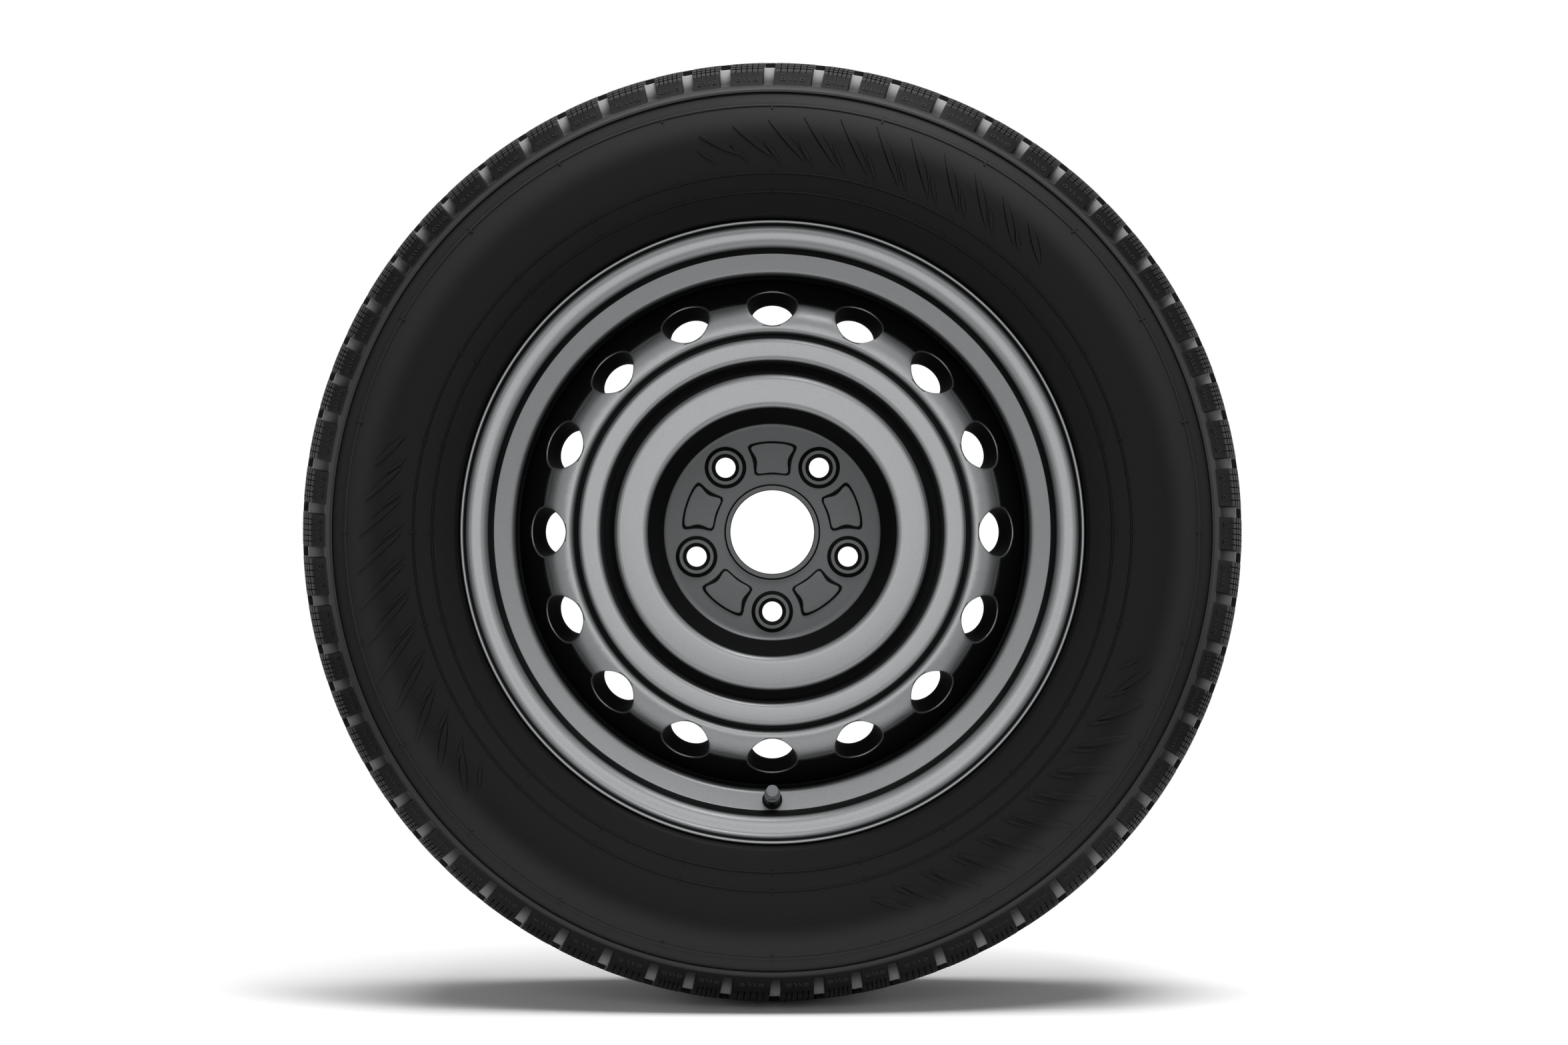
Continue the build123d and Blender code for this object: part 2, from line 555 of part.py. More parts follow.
def make_valve_core_spring():
    """Coil between the barrel's lip and the pin's collar."""
    _, collar_foot, _, _ = pin_heights()
    foot = BARREL_BOTTOM + BARREL_LIP + SPRING_WIRE_RADIUS
    height = collar_foot - SPRING_WIRE_RADIUS - foot
    coil_radius = (PIN_RADIUS + SPRING_CHAMBER_RADIUS) / 2
    coil = Pos(0, 0, foot) * Helix(height / SPRING_TURNS, height, coil_radius)
    wire = Plane(origin=coil @ 0, z_dir=coil % 0) * Circle(SPRING_WIRE_RADIUS)
    return sweep(wire, path=coil)


def make_valve_cap():
    """Screw cap: round foot collar, six-sided grip, round top and a blind threaded bore."""
    base = (Align.CENTER, Align.CENTER, Align.MIN)
    foot = BODY_TOP + CAP_FOOT_GAP
    roof = STEM_TOP + CAP_SEAL_GAP + CAP_SEAL_HEIGHT
    grip_foot = foot + CAP_COLLAR_HEIGHT
    grip_top = grip_foot + CAP_GRIP_HEIGHT
    collar = Pos(0, 0, foot) * Cylinder(CAP_COLLAR_RADIUS, CAP_COLLAR_HEIGHT, align=base)
    collar = fillet(collar.edges().filter_by(GeomType.CIRCLE), CAP_EDGE)
    grip = extrude(Pos(0, 0, grip_foot) * RegularPolygon(CAP_GRIP_RADIUS, 6), CAP_GRIP_HEIGHT)
    grip = fillet(grip.edges().filter_by(Axis.Z), CAP_EDGE)
    bevel = turned((0, grip_foot), (CAP_GRIP_RADIUS, grip_foot), (CAP_GRIP_RADIUS, grip_top - CAP_EDGE * 3),
                   (CAP_TOP_RADIUS, grip_top), (0, grip_top))
    top = Pos(0, 0, grip_top) * Cylinder(CAP_TOP_RADIUS, roof + CAP_ROOF - grip_top, align=base)
    top = fillet(top.edges().filter_by(GeomType.CIRCLE).sort_by(Axis.Z)[-1], CAP_EDGE)
    bore = Pos(0, 0, foot) * Cylinder(STEM_THREAD_RADIUS + CAP_GAP, roof - foot, align=base)
    return collar + (grip & bevel) + top - bore


def make_valve_cap_seal():
    """Rubber disc under the cap's roof, over the stem's mouth."""
    foot = STEM_TOP + CAP_SEAL_GAP
    base = (Align.CENTER, Align.CENTER, Align.MIN)
    return Pos(0, 0, foot) * Cylinder(STEM_THREAD_RADIUS, CAP_SEAL_HEIGHT, align=base)


def main():
    """Builds every piece in place and writes one file for each."""
    at_valve = well_wall_frame()
    rim = make_rim()
    pieces = {
        "tyre": make_tyre(),
        "rim": rim,
        "disc": make_disc(),
        "weld_beads": make_weld_beads(),
        "valve_body": at_valve * make_valve_body() - rim,
        "valve_stem": at_valve * make_valve_stem(),
        "valve_core_barrel": at_valve * make_valve_core_barrel(),
        "valve_core_gasket": at_valve * make_valve_core_gasket(),
        "valve_core_pin": at_valve * make_valve_core_pin(),
        "valve_core_cup_seal": at_valve * make_valve_core_cup_seal(),
        "valve_core_spring": at_valve * make_valve_core_spring(),
        "valve_cap": at_valve * make_valve_cap(),
        "valve_cap_seal": at_valve * make_valve_cap_seal(),
    }
    os.makedirs("parts", exist_ok=True)
    for name, piece in pieces.items():
        export_step(piece, f"parts/{name}.step")


main()
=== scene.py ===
import logging
import math
from dataclasses import dataclass, field
from enum import Enum
from typing import Callable, Sequence

import bmesh
import bpy
import numpy as np
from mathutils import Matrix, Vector
from numpy.typing import NDArray


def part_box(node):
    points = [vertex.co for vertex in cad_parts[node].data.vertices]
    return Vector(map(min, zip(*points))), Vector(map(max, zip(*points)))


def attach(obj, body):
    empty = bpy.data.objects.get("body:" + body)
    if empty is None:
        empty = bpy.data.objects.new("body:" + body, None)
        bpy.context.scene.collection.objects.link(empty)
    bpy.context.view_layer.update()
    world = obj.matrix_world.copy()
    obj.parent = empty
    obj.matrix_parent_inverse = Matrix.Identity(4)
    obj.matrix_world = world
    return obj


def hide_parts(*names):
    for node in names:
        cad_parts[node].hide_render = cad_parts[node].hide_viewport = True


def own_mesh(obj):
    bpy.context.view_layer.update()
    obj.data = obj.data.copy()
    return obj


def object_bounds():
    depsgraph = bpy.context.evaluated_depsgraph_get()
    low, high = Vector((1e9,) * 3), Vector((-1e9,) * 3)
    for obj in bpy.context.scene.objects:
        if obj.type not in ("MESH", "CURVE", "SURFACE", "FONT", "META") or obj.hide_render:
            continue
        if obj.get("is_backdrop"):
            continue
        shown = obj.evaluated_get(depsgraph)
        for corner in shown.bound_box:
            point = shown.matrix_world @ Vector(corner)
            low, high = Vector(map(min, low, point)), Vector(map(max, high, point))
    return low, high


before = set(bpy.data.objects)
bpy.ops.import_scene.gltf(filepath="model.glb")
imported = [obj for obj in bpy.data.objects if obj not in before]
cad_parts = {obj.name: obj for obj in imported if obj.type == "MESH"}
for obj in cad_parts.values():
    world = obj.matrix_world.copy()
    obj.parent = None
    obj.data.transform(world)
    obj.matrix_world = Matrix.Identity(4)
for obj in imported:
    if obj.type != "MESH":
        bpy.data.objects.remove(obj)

LOG = logging.getLogger("wheel")
Array = NDArray[np.float64]
Field = Callable[[Array], Array]
Outline = tuple[Array, Array]
Places = tuple[float | Array, Array]
Span = tuple[float, float]

# Lengths are in millimetres until Surface.build makes them metres. +Y points towards the car.
MM = 0.001
FULL_TURN = math.tau
# Name of the point attribute of painted light: painted shade on the paint, painted sheen on the rubber.
PAINTED_LIGHT = "film"


class Side(Enum):
    """Which face of the wheel a piece is on: the outer one looks along -Y."""

    FRONT = -1.0
    REAR = 1.0


class Slot(Enum):
    """Material slots of the record."""

    TYRE = "tyre_rubber"
    PAINT = "wheel_paint"
    VALVE_RUBBER = "valve_rubber"
    BRASS = "brass"
    SEAL = "seal_rubber"
    SPRING = "spring_steel"
    CAP = "cap_plastic"


def rounded(corners: Sequence[Sequence[float]], radii: Sequence[float], step: float = 0.14) -> Array:
    """Polyline through corners whose inner corners are arcs.

    An arc of radius p at a corner that turns by a starts p * tan(a / 2) before the corner, and its
    centre lies p to the side that the path turns to.

    Args:
        corners: (n, 2) corner points.
        radii: n - 2 arc radii for the inner corners.
        step: largest turn between two points of an arc, in radians.

    Returns:
        Points of the rounded path, shape (m, 2).
    """
    points = np.asarray(corners, dtype=float)
    runs = np.diff(points, axis=0)
    headings = np.arctan2(runs[:, 1], runs[:, 0])
    stretches = [points[:1]]
    for index, radius in enumerate(radii, start=1):
        turn = math.remainder(headings[index] - headings[index - 1], FULL_TURN)
        if abs(turn) < 1e-6 or radius < 1e-6:
            stretches.append(points[index:index + 1])
            continue
        before = headings[index - 1]
        way = np.array([math.cos(before), math.sin(before)])
        left = np.array([-way[1], way[0]]) * math.copysign(1.0, turn)
        start = points[index] - radius * math.tan(abs(turn) / 2) * way
        count = max(3, math.ceil(abs(turn) / step) + 1)
        angles = turn * np.linspace(0.0, 1.0, count)
        ahead = radius * np.abs(np.sin(angles))[:, None] * way
        across = radius * (1.0 - np.cos(angles))[:, None] * left
        stretches.append(start + ahead + across)
    stretches.append(points[-1:])
    return np.concatenate(stretches)


def sheet(corners: Sequence[Sequence[float]], bends: Sequence[float], thickness: float,
          step: float = 0.14) -> tuple[Array, Array]:
    """Both faces of a bent sheet that lies to the left of its path.

    The far face is the path moved by the thickness along the mitre of each corner. A bend's radius
    grows or shrinks by the thickness there, but not below a fifth of it.

    Args:
        corners: (n, 2) corner points of the near face.
        bends: n - 2 bend radii of the near face.
        thickness: sheet thickness.
        step: largest turn between two points of a bend, in radians.

    Returns:
        Rounded near face and rounded far face.
    """
    points = np.asarray(corners, dtype=float)
    runs = np.diff(points, axis=0)
    headings = np.arctan2(runs[:, 1], runs[:, 0])
    normals = np.column_stack([-np.sin(headings), np.cos(headings)])
    turns = np.array([math.remainder(turn, FULL_TURN) for turn in np.diff(headings)])
    mitres = normals[:-1] + normals[1:]
    mitres /= np.linalg.norm(mitres, axis=1, keepdims=True)
    inner = points[1:-1] + mitres * (thickness / np.cos(turns / 2))[:, None]
    first = points[:1] + normals[:1] * thickness
    last = points[-1:] + normals[-1:] * thickness
    far = np.concatenate([first, inner, last])
    far_bends = np.maximum(np.asarray(bends) - np.copysign(thickness, turns), 0.2 * thickness)
    return rounded(points, bends, step), rounded(far, far_bends, step)


def polar(radius: Array, y: Array, clock: Array) -> Array:
    """Points at radii, y values and clock angles, which are broadcast together.

    A clock angle c runs clockwise from the top seen from the front: x = r sin c, z = r cos c.

    Args:
        radius: distances from the wheel's axis.
        y: places along the axis.
        clock: clock angles in radians.

    Returns:
        Points, shape (..., 3).
    """
    radius, y, clock = np.broadcast_arrays(radius, y, clock)
    return np.stack([radius * np.sin(clock), y, radius * np.cos(clock)], axis=-1)


def revolve(path: Array, clocks: Array) -> Array:
    """Carries a (radius, y) path round the wheel's axis.

    Args:
        path: (rows, 2) radii and y values, or (rows, columns, 2) where they change round the wheel.
        clocks: clock angles in radians, shape (columns,) or (rows, columns).

    Returns:
        Grid of points, shape (rows, columns, 3).
    """
    if path.ndim == 2:
        path = path[:, None, :]
    return polar(path[..., 0], path[..., 1], clocks)


def even_clocks(count: int) -> Array:
    """Evenly spaced clock angles of one full turn, from the top."""
    return np.arange(count) * (FULL_TURN / count)


def smooth_step(share: Array) -> Array:
    """Soft ramp from 0 to 1: 3 t^2 - 2 t^3 of the clipped share."""
    share = np.clip(share, 0.0, 1.0)
    return share * share * (3.0 - 2.0 * share)


def find_edge(inside: Callable[[Array], Array], reach: Array, rounds: int = 40) -> Array:
    """Distance at which rays leave a shape, by halving the interval over whole arrays.

    Args:
        inside: says for a distance along each ray whether that point is still inside.
        reach: for each ray, a distance that is outside.
        rounds: number of halvings.

    Returns:
        Distance of the edge along each ray.
    """
    near = np.zeros_like(reach)
    far = reach.copy()
    for _ in range(rounds):
        middle = (near + far) / 2
        held = inside(middle)
        near = np.where(held, middle, near)
        far = np.where(held, far, middle)
    return (near + far) / 2


def away_from_ring(radius: float, y: float = 0.0) -> Field:
    """Field that points away from a circle round the wheel's axis.

    Args:
        radius: radius of the circle.
        y: place of the circle along the axis.

    Returns:
        Field of each point's offset from the nearest point of the circle.
    """
    def away(points: Array) -> Array:
        """Offset from the nearest point of the circle."""
        flat = points * np.array([1.0, 0.0, 1.0])
        length = np.linalg.norm(flat, axis=1, keepdims=True)
        return points - flat / np.maximum(length, 1e-9) * radius - np.array([0.0, y, 0.0])

    return away


def along(direction: Sequence[float]) -> Field:
    """Field that points the same way everywhere."""
    return lambda points: np.broadcast_to(np.asarray(direction, dtype=float), points.shape)


def towards_line(foot: Array, line: Array, sign: float = 1.0) -> Field:
    """Field that points straight at a line.

    Args:
        foot: a point of the line.
        line: unit direction of the line.
        sign: 1 to point at the line, -1 to point away from it.

    Returns:
        Field of each point's offset to the nearest point of the line, times the sign.
    """
    def towards(points: Array) -> Array:
        """Offset to the nearest point of the line, times the sign."""
        flat = points - foot
        return sign * ((flat @ line)[:, None] * line - flat)

    return towards


def over_columns(values: Sequence[float], columns: int) -> Array:
    """One value for each row, repeated over the columns of a grid."""
    return np.repeat(np.asarray(values, dtype=float)[:, None], columns, axis=1)


def grid_quads(index: NDArray[np.int64]) -> NDArray[np.int64]:
    """Quads between neighbouring rows and columns of a grid of point numbers."""
    corners = [index[:-1, :-1], index[:-1, 1:], index[1:, 1:], index[1:, :-1]]
    return np.stack(corners, axis=-1).reshape(-1, 4)


def read(items: bpy.types.bpy_prop_collection, name: str, width: int) -> Array:
    """One property of a mesh's items, shape (n, width)."""
    values = np.empty(len(items) * width)
    items.foreach_get(name, values)
    return values.reshape(-1, width)


@dataclass
class Surface:
    """Grids of points in millimetres that are joined into one mesh."""

    name: str
    points: list[Array] = field(default_factory=list)
    quads: list[Array] = field(default_factory=list)
    painted_light_shares: list[Array] = field(default_factory=list)
    count: int = 0

    def add(self, grid: Array, outward: Field | None = None, wrap: bool = False,
            film: Array | None = None) -> None:
        """Adds one grid of quads, turned so that its faces look outwards.

        Args:
            grid: points, shape (rows, columns, 3).
            outward: field of directions that the faces should look along, or None for a closed grid,
                whose signed volume decides.
            wrap: whether the last column joins the first.
            film: share of painted light at each point, shade on the paint and sheen on the rubber, shape
                (rows, columns).
        """
        rows, columns = grid.shape[:2]
        index = np.arange(rows * columns).reshape(rows, columns)
        if wrap:
            index = np.concatenate([index, index[:, :1]], axis=1)
        self.add_faces(grid.reshape(-1, 3), grid_quads(index), outward, film)

    def add_faces(self, points: Array, quads: NDArray[np.int64], outward: Field | None = None,
                  film: Array | None = None) -> None:
        """Adds points with their own quads, turned as a whole to look outwards.

        They are turned round where the sum of their normals times the outward field is below zero.

        Args:
            points: points, shape (n, 3).
            quads: four point numbers for each quad.
            outward: field of directions that the faces should look along, or None for a closed shape.
            film: share of painted light at each point, shade on the paint and sheen on the rubber.
        """
        corners = points[quads]
        normals = np.cross(corners[:, 2] - corners[:, 0], corners[:, 3] - corners[:, 1])
        middles = corners.mean(axis=1)
        way = middles if outward is None else outward(middles)
        if float((normals * way).sum()) < 0.0:
            quads = quads[:, ::-1]
        self.points.append(points)
        self.painted_light_shares.append(np.zeros(len(points)) if film is None else film.ravel())
        self.quads.append(quads + self.count)
        self.count += len(points)

    def build(self, merge: float = 0.004, sharp: float = 40.0) -> bpy.types.Object:
        """Makes the mesh object: equal points merged, smooth but for edges over an angle.

        Args:
            merge: points closer than this become one, in millimetres.
            sharp: edges that bend by more than this many degrees stay sharp.

        Returns:
            The object, linked to the scene.
        """
        points = np.concatenate(self.points) * MM
        quads = np.concatenate(self.quads)
        mesh = bpy.data.meshes.new(self.name)
        mesh.vertices.add(len(points))
        mesh.vertices.foreach_set("co", points.astype(np.float32).ravel())
        mesh.loops.add(quads.size)
        mesh.loops.foreach_set("vertex_index", quads.astype(np.int32).ravel())
        mesh.polygons.add(len(quads))
        mesh.polygons.foreach_set("loop_start", np.arange(0, quads.size, 4, dtype=np.int32))
        mesh.update(calc_edges=True)
        # Painted light: the shares of painted shade and painted sheen go into one point attribute.
        layer = mesh.attributes.new(PAINTED_LIGHT, "FLOAT", "POINT")
        layer.data.foreach_set("value", np.concatenate(self.painted_light_shares).astype(np.float32))
        work = bmesh.new()
        work.from_mesh(mesh)
        bmesh.ops.remove_doubles(work, verts=work.verts, dist=merge * MM)
        work.to_mesh(mesh)
        work.free()
        mesh.validate()
        mesh.shade_smooth()
        mesh.set_sharp_from_angle(angle=math.radians(sharp))
        piece = bpy.data.objects.new(self.name, mesh)
        bpy.context.scene.collection.objects.link(piece)
        return piece


@dataclass(frozen=True)
class PaintedShade:
    """Where painted shade darkens the paint, in millimetres: on steep walls, on the sunk hub and in the
    trough between the rings.

    A point's facing is the size of its normal's y: 1 on a flat face and 0 on a wall.
    """

    wall_facing: float = 0.62
    wall_range: float = 0.18
    barrel_y: float = -30.0
    barrel_radius: float = 160.0
    barrel_share: float = 0.6
    hub_inset: float = 3.0
    hub_facing: float = 0.84
    hub_range: float = 0.13
    hub_share: float = 0.5
    hub_overlap: float = 2.0
    hub_fade: float = 4.0
    ring_radii: tuple[float, ...] = (105.0, 125.0, 135.0, 150.0)
    ring_tops: tuple[float, ...] = (-74.0, -72.8, -72.7, -70.8)
    trough_radius: float = 127.0
    trough_half: float = 18.5
    trough_start: float = 0.7
    trough_fade: float = 2.6

    def mark(self, piece: bpy.types.Object, hub_radius: float = 0.0) -> None:
        """Writes the share of painted shade, darkness on walls and in hollows, into the piece's painted
        light attribute.

        The share falls from 1 to 0 as the facing rises through a range, and is cut down in the barrel. The
        sunk hub has a range and a least share of its own. In the trough it grows with the depth below the
        rings' tops. A larger share that a point brings along counts, and one below zero keeps it bright.

        Args:
            piece: painted piece.
            hub_radius: radius of the hub flat, or 0 where there is none.
        """
        mesh = piece.data
        layer = mesh.attributes[PAINTED_LIGHT].data
        given = read(layer, "value", 1)[:, 0]
        lean = read(mesh.vertices, "normal", 3)[:, 1]
        facing = np.abs(lean)
        x, y, z = read(mesh.vertices, "co", 3).T / MM
        radius = np.hypot(x, z)
        # Painted shade: walls that turn away from the front are darkened, less so in the barrel behind the
        # disc.
        film = 1.0 - smooth_step((facing - self.wall_facing) / self.wall_range)
        barrel = (y > self.barrel_y) & (radius > self.barrel_radius)
        film = np.where(barrel, self.barrel_share * film, film)
        if hub_radius:
            on_hub = radius < hub_radius - self.hub_inset
            film = np.where(on_hub, 1.0 - smooth_step((facing - self.hub_facing) / self.hub_range), film)
            hub = smooth_step((hub_radius + self.hub_overlap - radius) / self.hub_fade)
            film = np.maximum(film, self.hub_share * hub)
            depth = y - np.interp(radius, self.ring_radii, self.ring_tops)
            trough = (np.abs(radius - self.trough_radius) < self.trough_half) & (lean < 0.0)
            film = np.maximum(film, smooth_step((depth - self.trough_start) / self.trough_fade) * trough)
        film = np.where(given < 0.0, 0.0, np.maximum(film, given))
        layer.foreach_set("value", film.astype(np.float32))


def place(piece: bpy.types.Object, body: str, slot: Slot, material: bpy.types.Material,
          *nodes: str) -> None:
    """Dresses a finished piece, sets it on its body and hides the solids that it stands for.

    Args:
        piece: finished piece.
        body: body of the record that it moves with.
        slot: its material slot, not used.
        material: its material.
        nodes: CAD nodes that it replaces.
    """
    piece.data.materials.clear()
    piece.data.materials.append(material)
    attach(piece, body)
    if nodes:
        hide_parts(*nodes)
    triangles = sum(len(face.vertices) - 2 for face in piece.data.polygons)
    LOG.info("%s: %d triangles on %s", piece.name, triangles, body)


@dataclass(frozen=True)
class RimSizes:
    """Sizes of the rolled rim, in millimetres."""

    seat_radius: float = 202.8
    width: float = 165.1
    flange_height: float = 17.3
    flange_lip: float = 12.5
    flange_bend: float = 9.5
    heel_bend: float = 6.5
    sheet: float = 2.6
    seat_taper: float = 5.0
    seat_length: float = 18.5
    hump_length: float = 7.0
    hump_height: float = 1.3
    hump_bend: float = 4.0
    well_radius: float = 185.5
    well_wall_tilt: float = 18.0
    well_length: float = 47.0
    well_bend: float = 5.2
    well_rear_bend: float = 20.0

    @property
    def flange_y(self) -> float:
        """Distance of a flange from the middle plane."""
        return self.width / 2

    @property
    def flange_radius(self) -> float:
        """Outer radius of the flanges on the tyre's side."""
        return self.seat_radius + self.flange_height

    @property
    def seat_end_radius(self) -> float:
        """Radius at the inner end of a bead seat."""
        return self.seat_radius - self.seat_length * math.tan(math.radians(self.seat_taper))

    @property
    def well_top_y(self) -> float:
        """Distance of the well's upper corners from the middle plane."""
        return self.flange_y - self.seat_length - self.hump_length

    @property
    def well_wall_run(self) -> float:
        """How far the well's front wall leans back from its top to its foot."""
        return (self.seat_end_radius - self.well_radius) * math.tan(math.radians(self.well_wall_tilt))

    @property
    def well_inner_radius(self) -> float:
        """Radius of the well's inner face."""
        return self.well_radius - self.sheet


@dataclass
class Rim:
    """Rolled rim: flanges, bead seats, humps and drop well in one sheet."""

    paint: bpy.types.Material
    sizes: RimSizes = field(default_factory=RimSizes)
    columns: int = 360
    bend_step: float = 0.27
    lip_points: int = 9

    def half_path(self, side: float) -> tuple[list[tuple[float, float]], list[float]]:
        """Tyre side of one flange, bead seat and hump, from the lip inwards.

        Args:
            side: -1 for the front half, 1 for the rear half.

        Returns:
            Corner points as (radius, y), and the bend radii of the corners after the first.
        """
        s = self.sizes
        hump_y = s.flange_y - s.seat_length - s.hump_length / 2
        path = [
            (s.flange_radius, side * (s.flange_y + s.flange_lip)),
            (s.flange_radius, side * s.flange_y),
            (s.seat_radius, side * s.flange_y),
            (s.seat_end_radius, side * (s.flange_y - s.seat_length)),
            (s.seat_end_radius + s.hump_height, side * hump_y),
            (s.seat_end_radius, side * s.well_top_y),
        ]
        return path, [s.flange_bend, s.heel_bend, s.hump_bend, s.hump_bend, s.hump_bend]

    def section(self) -> Array:
        """Closed section of the sheet, as (radius, y) points.

        The tyre's side runs from the front lip over the well to the rear lip. The other face lies one
        sheet's thickness further in, and a half circle of that thickness joins the two at each lip.
        """
        s = self.sizes
        front, front_bends = self.half_path(Side.FRONT.value)
        rear, rear_bends = self.half_path(Side.REAR.value)
        start = s.well_wall_run - s.well_top_y
        path = front + [(s.well_radius, start), (s.well_radius, start + s.well_length)] + rear[::-1]
        bends = front_bends + [s.well_bend, s.well_rear_bend] + rear_bends[::-1]
        near, far = sheet(path, bends, s.sheet, step=self.bend_step)
        half = s.sheet / 2
        turn = np.linspace(0.0, math.pi, self.lip_points)[1:-1]
        middle = s.flange_radius - half
        reach = s.flange_y + s.flange_lip - half
        rear_lip = np.column_stack([middle + half * np.cos(turn), reach + half * np.sin(turn)])
        front_lip = np.column_stack([middle - half * np.cos(turn), -reach - half * np.sin(turn)])
        for face in (near, far):
            face[0, 1] = -reach
            face[-1, 1] = reach
        return np.concatenate([near, rear_lip, far[::-1], front_lip, near[:1]])

    def build(self) -> None:
        """Carries the section round the axis and paints it."""
        surface = Surface("rim_barrel")
        surface.add(revolve(self.section(), even_clocks(self.columns)), None, wrap=True)
        piece = surface.build(sharp=50.0)
        # Painted shade darkens the rim's walls, at a smaller share in the barrel behind the disc.
        PaintedShade().mark(piece)
        place(piece, "wheel", Slot.PAINT, self.paint, "rim")


@dataclass(frozen=True)
class DiscSizes:
    """Sizes of the pressed disc, in millimetres and degrees."""

    sheet: float = 3.6
    offset: float = 45.0
    bore_radius: float = 30.05
    lip_width: float = 4.0
    lip_height: float = 2.0
    lip_slope_inset: float = 0.7
    lip_slope_run: float = 0.3
    bore_bends: tuple[float, ...] = (0.5, 0.8, 0.5, 0.3)
    flat_start_gap: float = 0.8
    flat_end_inset: float = 3.4
    hub_edge_radius: float = 77.0
    widths: tuple[float, ...] = (12.5, 21.3, 6.4, 6.4, 13.0, 3.8, 3.8, 9.7, 9.7)
    rises: tuple[float, ...] = (26.4, -1.0, -9.5, 8.3, 0.0, -5.2, 4.0, -1.52, -6.08)
    bends: tuple[float, ...] = (5.0, 6.0, 6.0, 3.0, 4.8, 4.8, 2.0, 4.8, 30.0, 5.0, 12.0)
    skirt_start: float = 31.0
    skirt_end: float = 12.0
    skirt_gap: float = 0.1
    bolt_count: int = 5
    bolt_circle_radius: float = 57.15
    bolt_hole_radius: float = 7.2
    seat_radius: float = 9.8
    seat_half_angle: float = 30.0
    boss_top_radius: float = 12.2
    boss_base_radius: float = 15.2
    boss_height: float = 2.6
    boss_foot_inset: float = 0.2
    boss_foot_run: float = 0.6
    seat_bends: tuple[float, ...] = (0.4, 0.6, 0.6, 0.6)
    pad_inner_radius: float = 41.5
    pad_outer_radius: float = 65.0
    pad_margin: float = 5.3
    pad_height: float = 1.6
    pad_wall: float = 2.0
    pad_softness: float = 2.2
    pad_top_shares: tuple[float, ...] = (0.0, 0.3, 0.6, 0.85)
    pad_top_inset: float = 4.2
    pad_edge_rows: tuple[float, ...] = (-2.3, -2.0, -1.6, -1.0, -0.5, 0.0, 0.4, 0.7)
    # Share of painted shade on each row round a pad's edge, darkening the crease.
    pad_edge_painted_shade: tuple[float, ...] = (0.0, 0.4, 1.0, 1.0, 1.0, 1.0, 0.6, 0.0)
    pad_edge_fall: float = 3.0
    pad_edge_reach: float = 0.7
    pad_side_reach: float = 0.8
    vent_count: int = 16
    vent_radius: float = 17.6
    vent_tilt: float = 38.0
    vent_roll: float = 1.1
    vent_roll_rows: int = 5
    # Share of painted shade on each row of a vent's wall; below zero keeps the rolled edge free of it.
    vent_painted_shade: tuple[float, ...] = (0.0, -1.0, -1.0, -1.0, 1.0, 1.0, 1.0, 1.0)
    vent_inner_gap: float = 1.2
    vent_outer_gap: float = 4.0
    back_patch_radius: float = 142.6
    back_patch_run: float = 19.0
    collar_depth: float = 21.0
    collar_end_radius: float = 15.4
    collar_wall: float = 2.4
    collar_in_shares: tuple[float, ...] = (0.34, 0.67, 1.0)
    collar_out_shares: tuple[float, ...] = (0.0, 0.5, 1.0)
    collar_edge: float = 0.8
    collar_round: float = 0.5
    collar_round_fall: float = 0.1
    collar_foot_gap: float = 0.6

    @property
    def hub_front(self) -> float:
        """Distance of the hub flat's front face from the middle plane."""
        return self.offset + self.sheet

    @property
    def vent_slope(self) -> float:
        """How much a vent's radius grows along its axis."""
        return (self.vent_radius - self.collar_end_radius) / self.collar_depth


class PathMap:
    """A (radius, y) path addressed by its running length."""

    least_step = 0.05

    def __init__(self, path: Array) -> None:
        """Keeps the path and its running length at each point."""
        steps = np.linalg.norm(np.diff(path, axis=0), axis=1)
        self.path = path
        self.length = np.concatenate([[0.0], np.cumsum(steps)])

    def at(self, distance: Array) -> Array:
        """Points at running lengths, shape (..., 2)."""
        radius = np.interp(distance, self.length, self.path[:, 0])
        y = np.interp(distance, self.length, self.path[:, 1])
        return np.stack([radius, y], axis=-1)

    def where_radius(self, radius: float) -> float:
        """Running length at which the path first reaches a radius."""
        return float(np.interp(radius, np.maximum.accumulate(self.path[:, 0]), self.length))

    def between(self, start: float, end: float) -> Array:
        """Stretch of the path between two running lengths, ends included."""
        inner = (self.length > start + self.least_step) & (self.length < end - self.least_step)
        return np.concatenate([self.at(np.array([start])), self.path[inner], self.at(np.array([end]))])


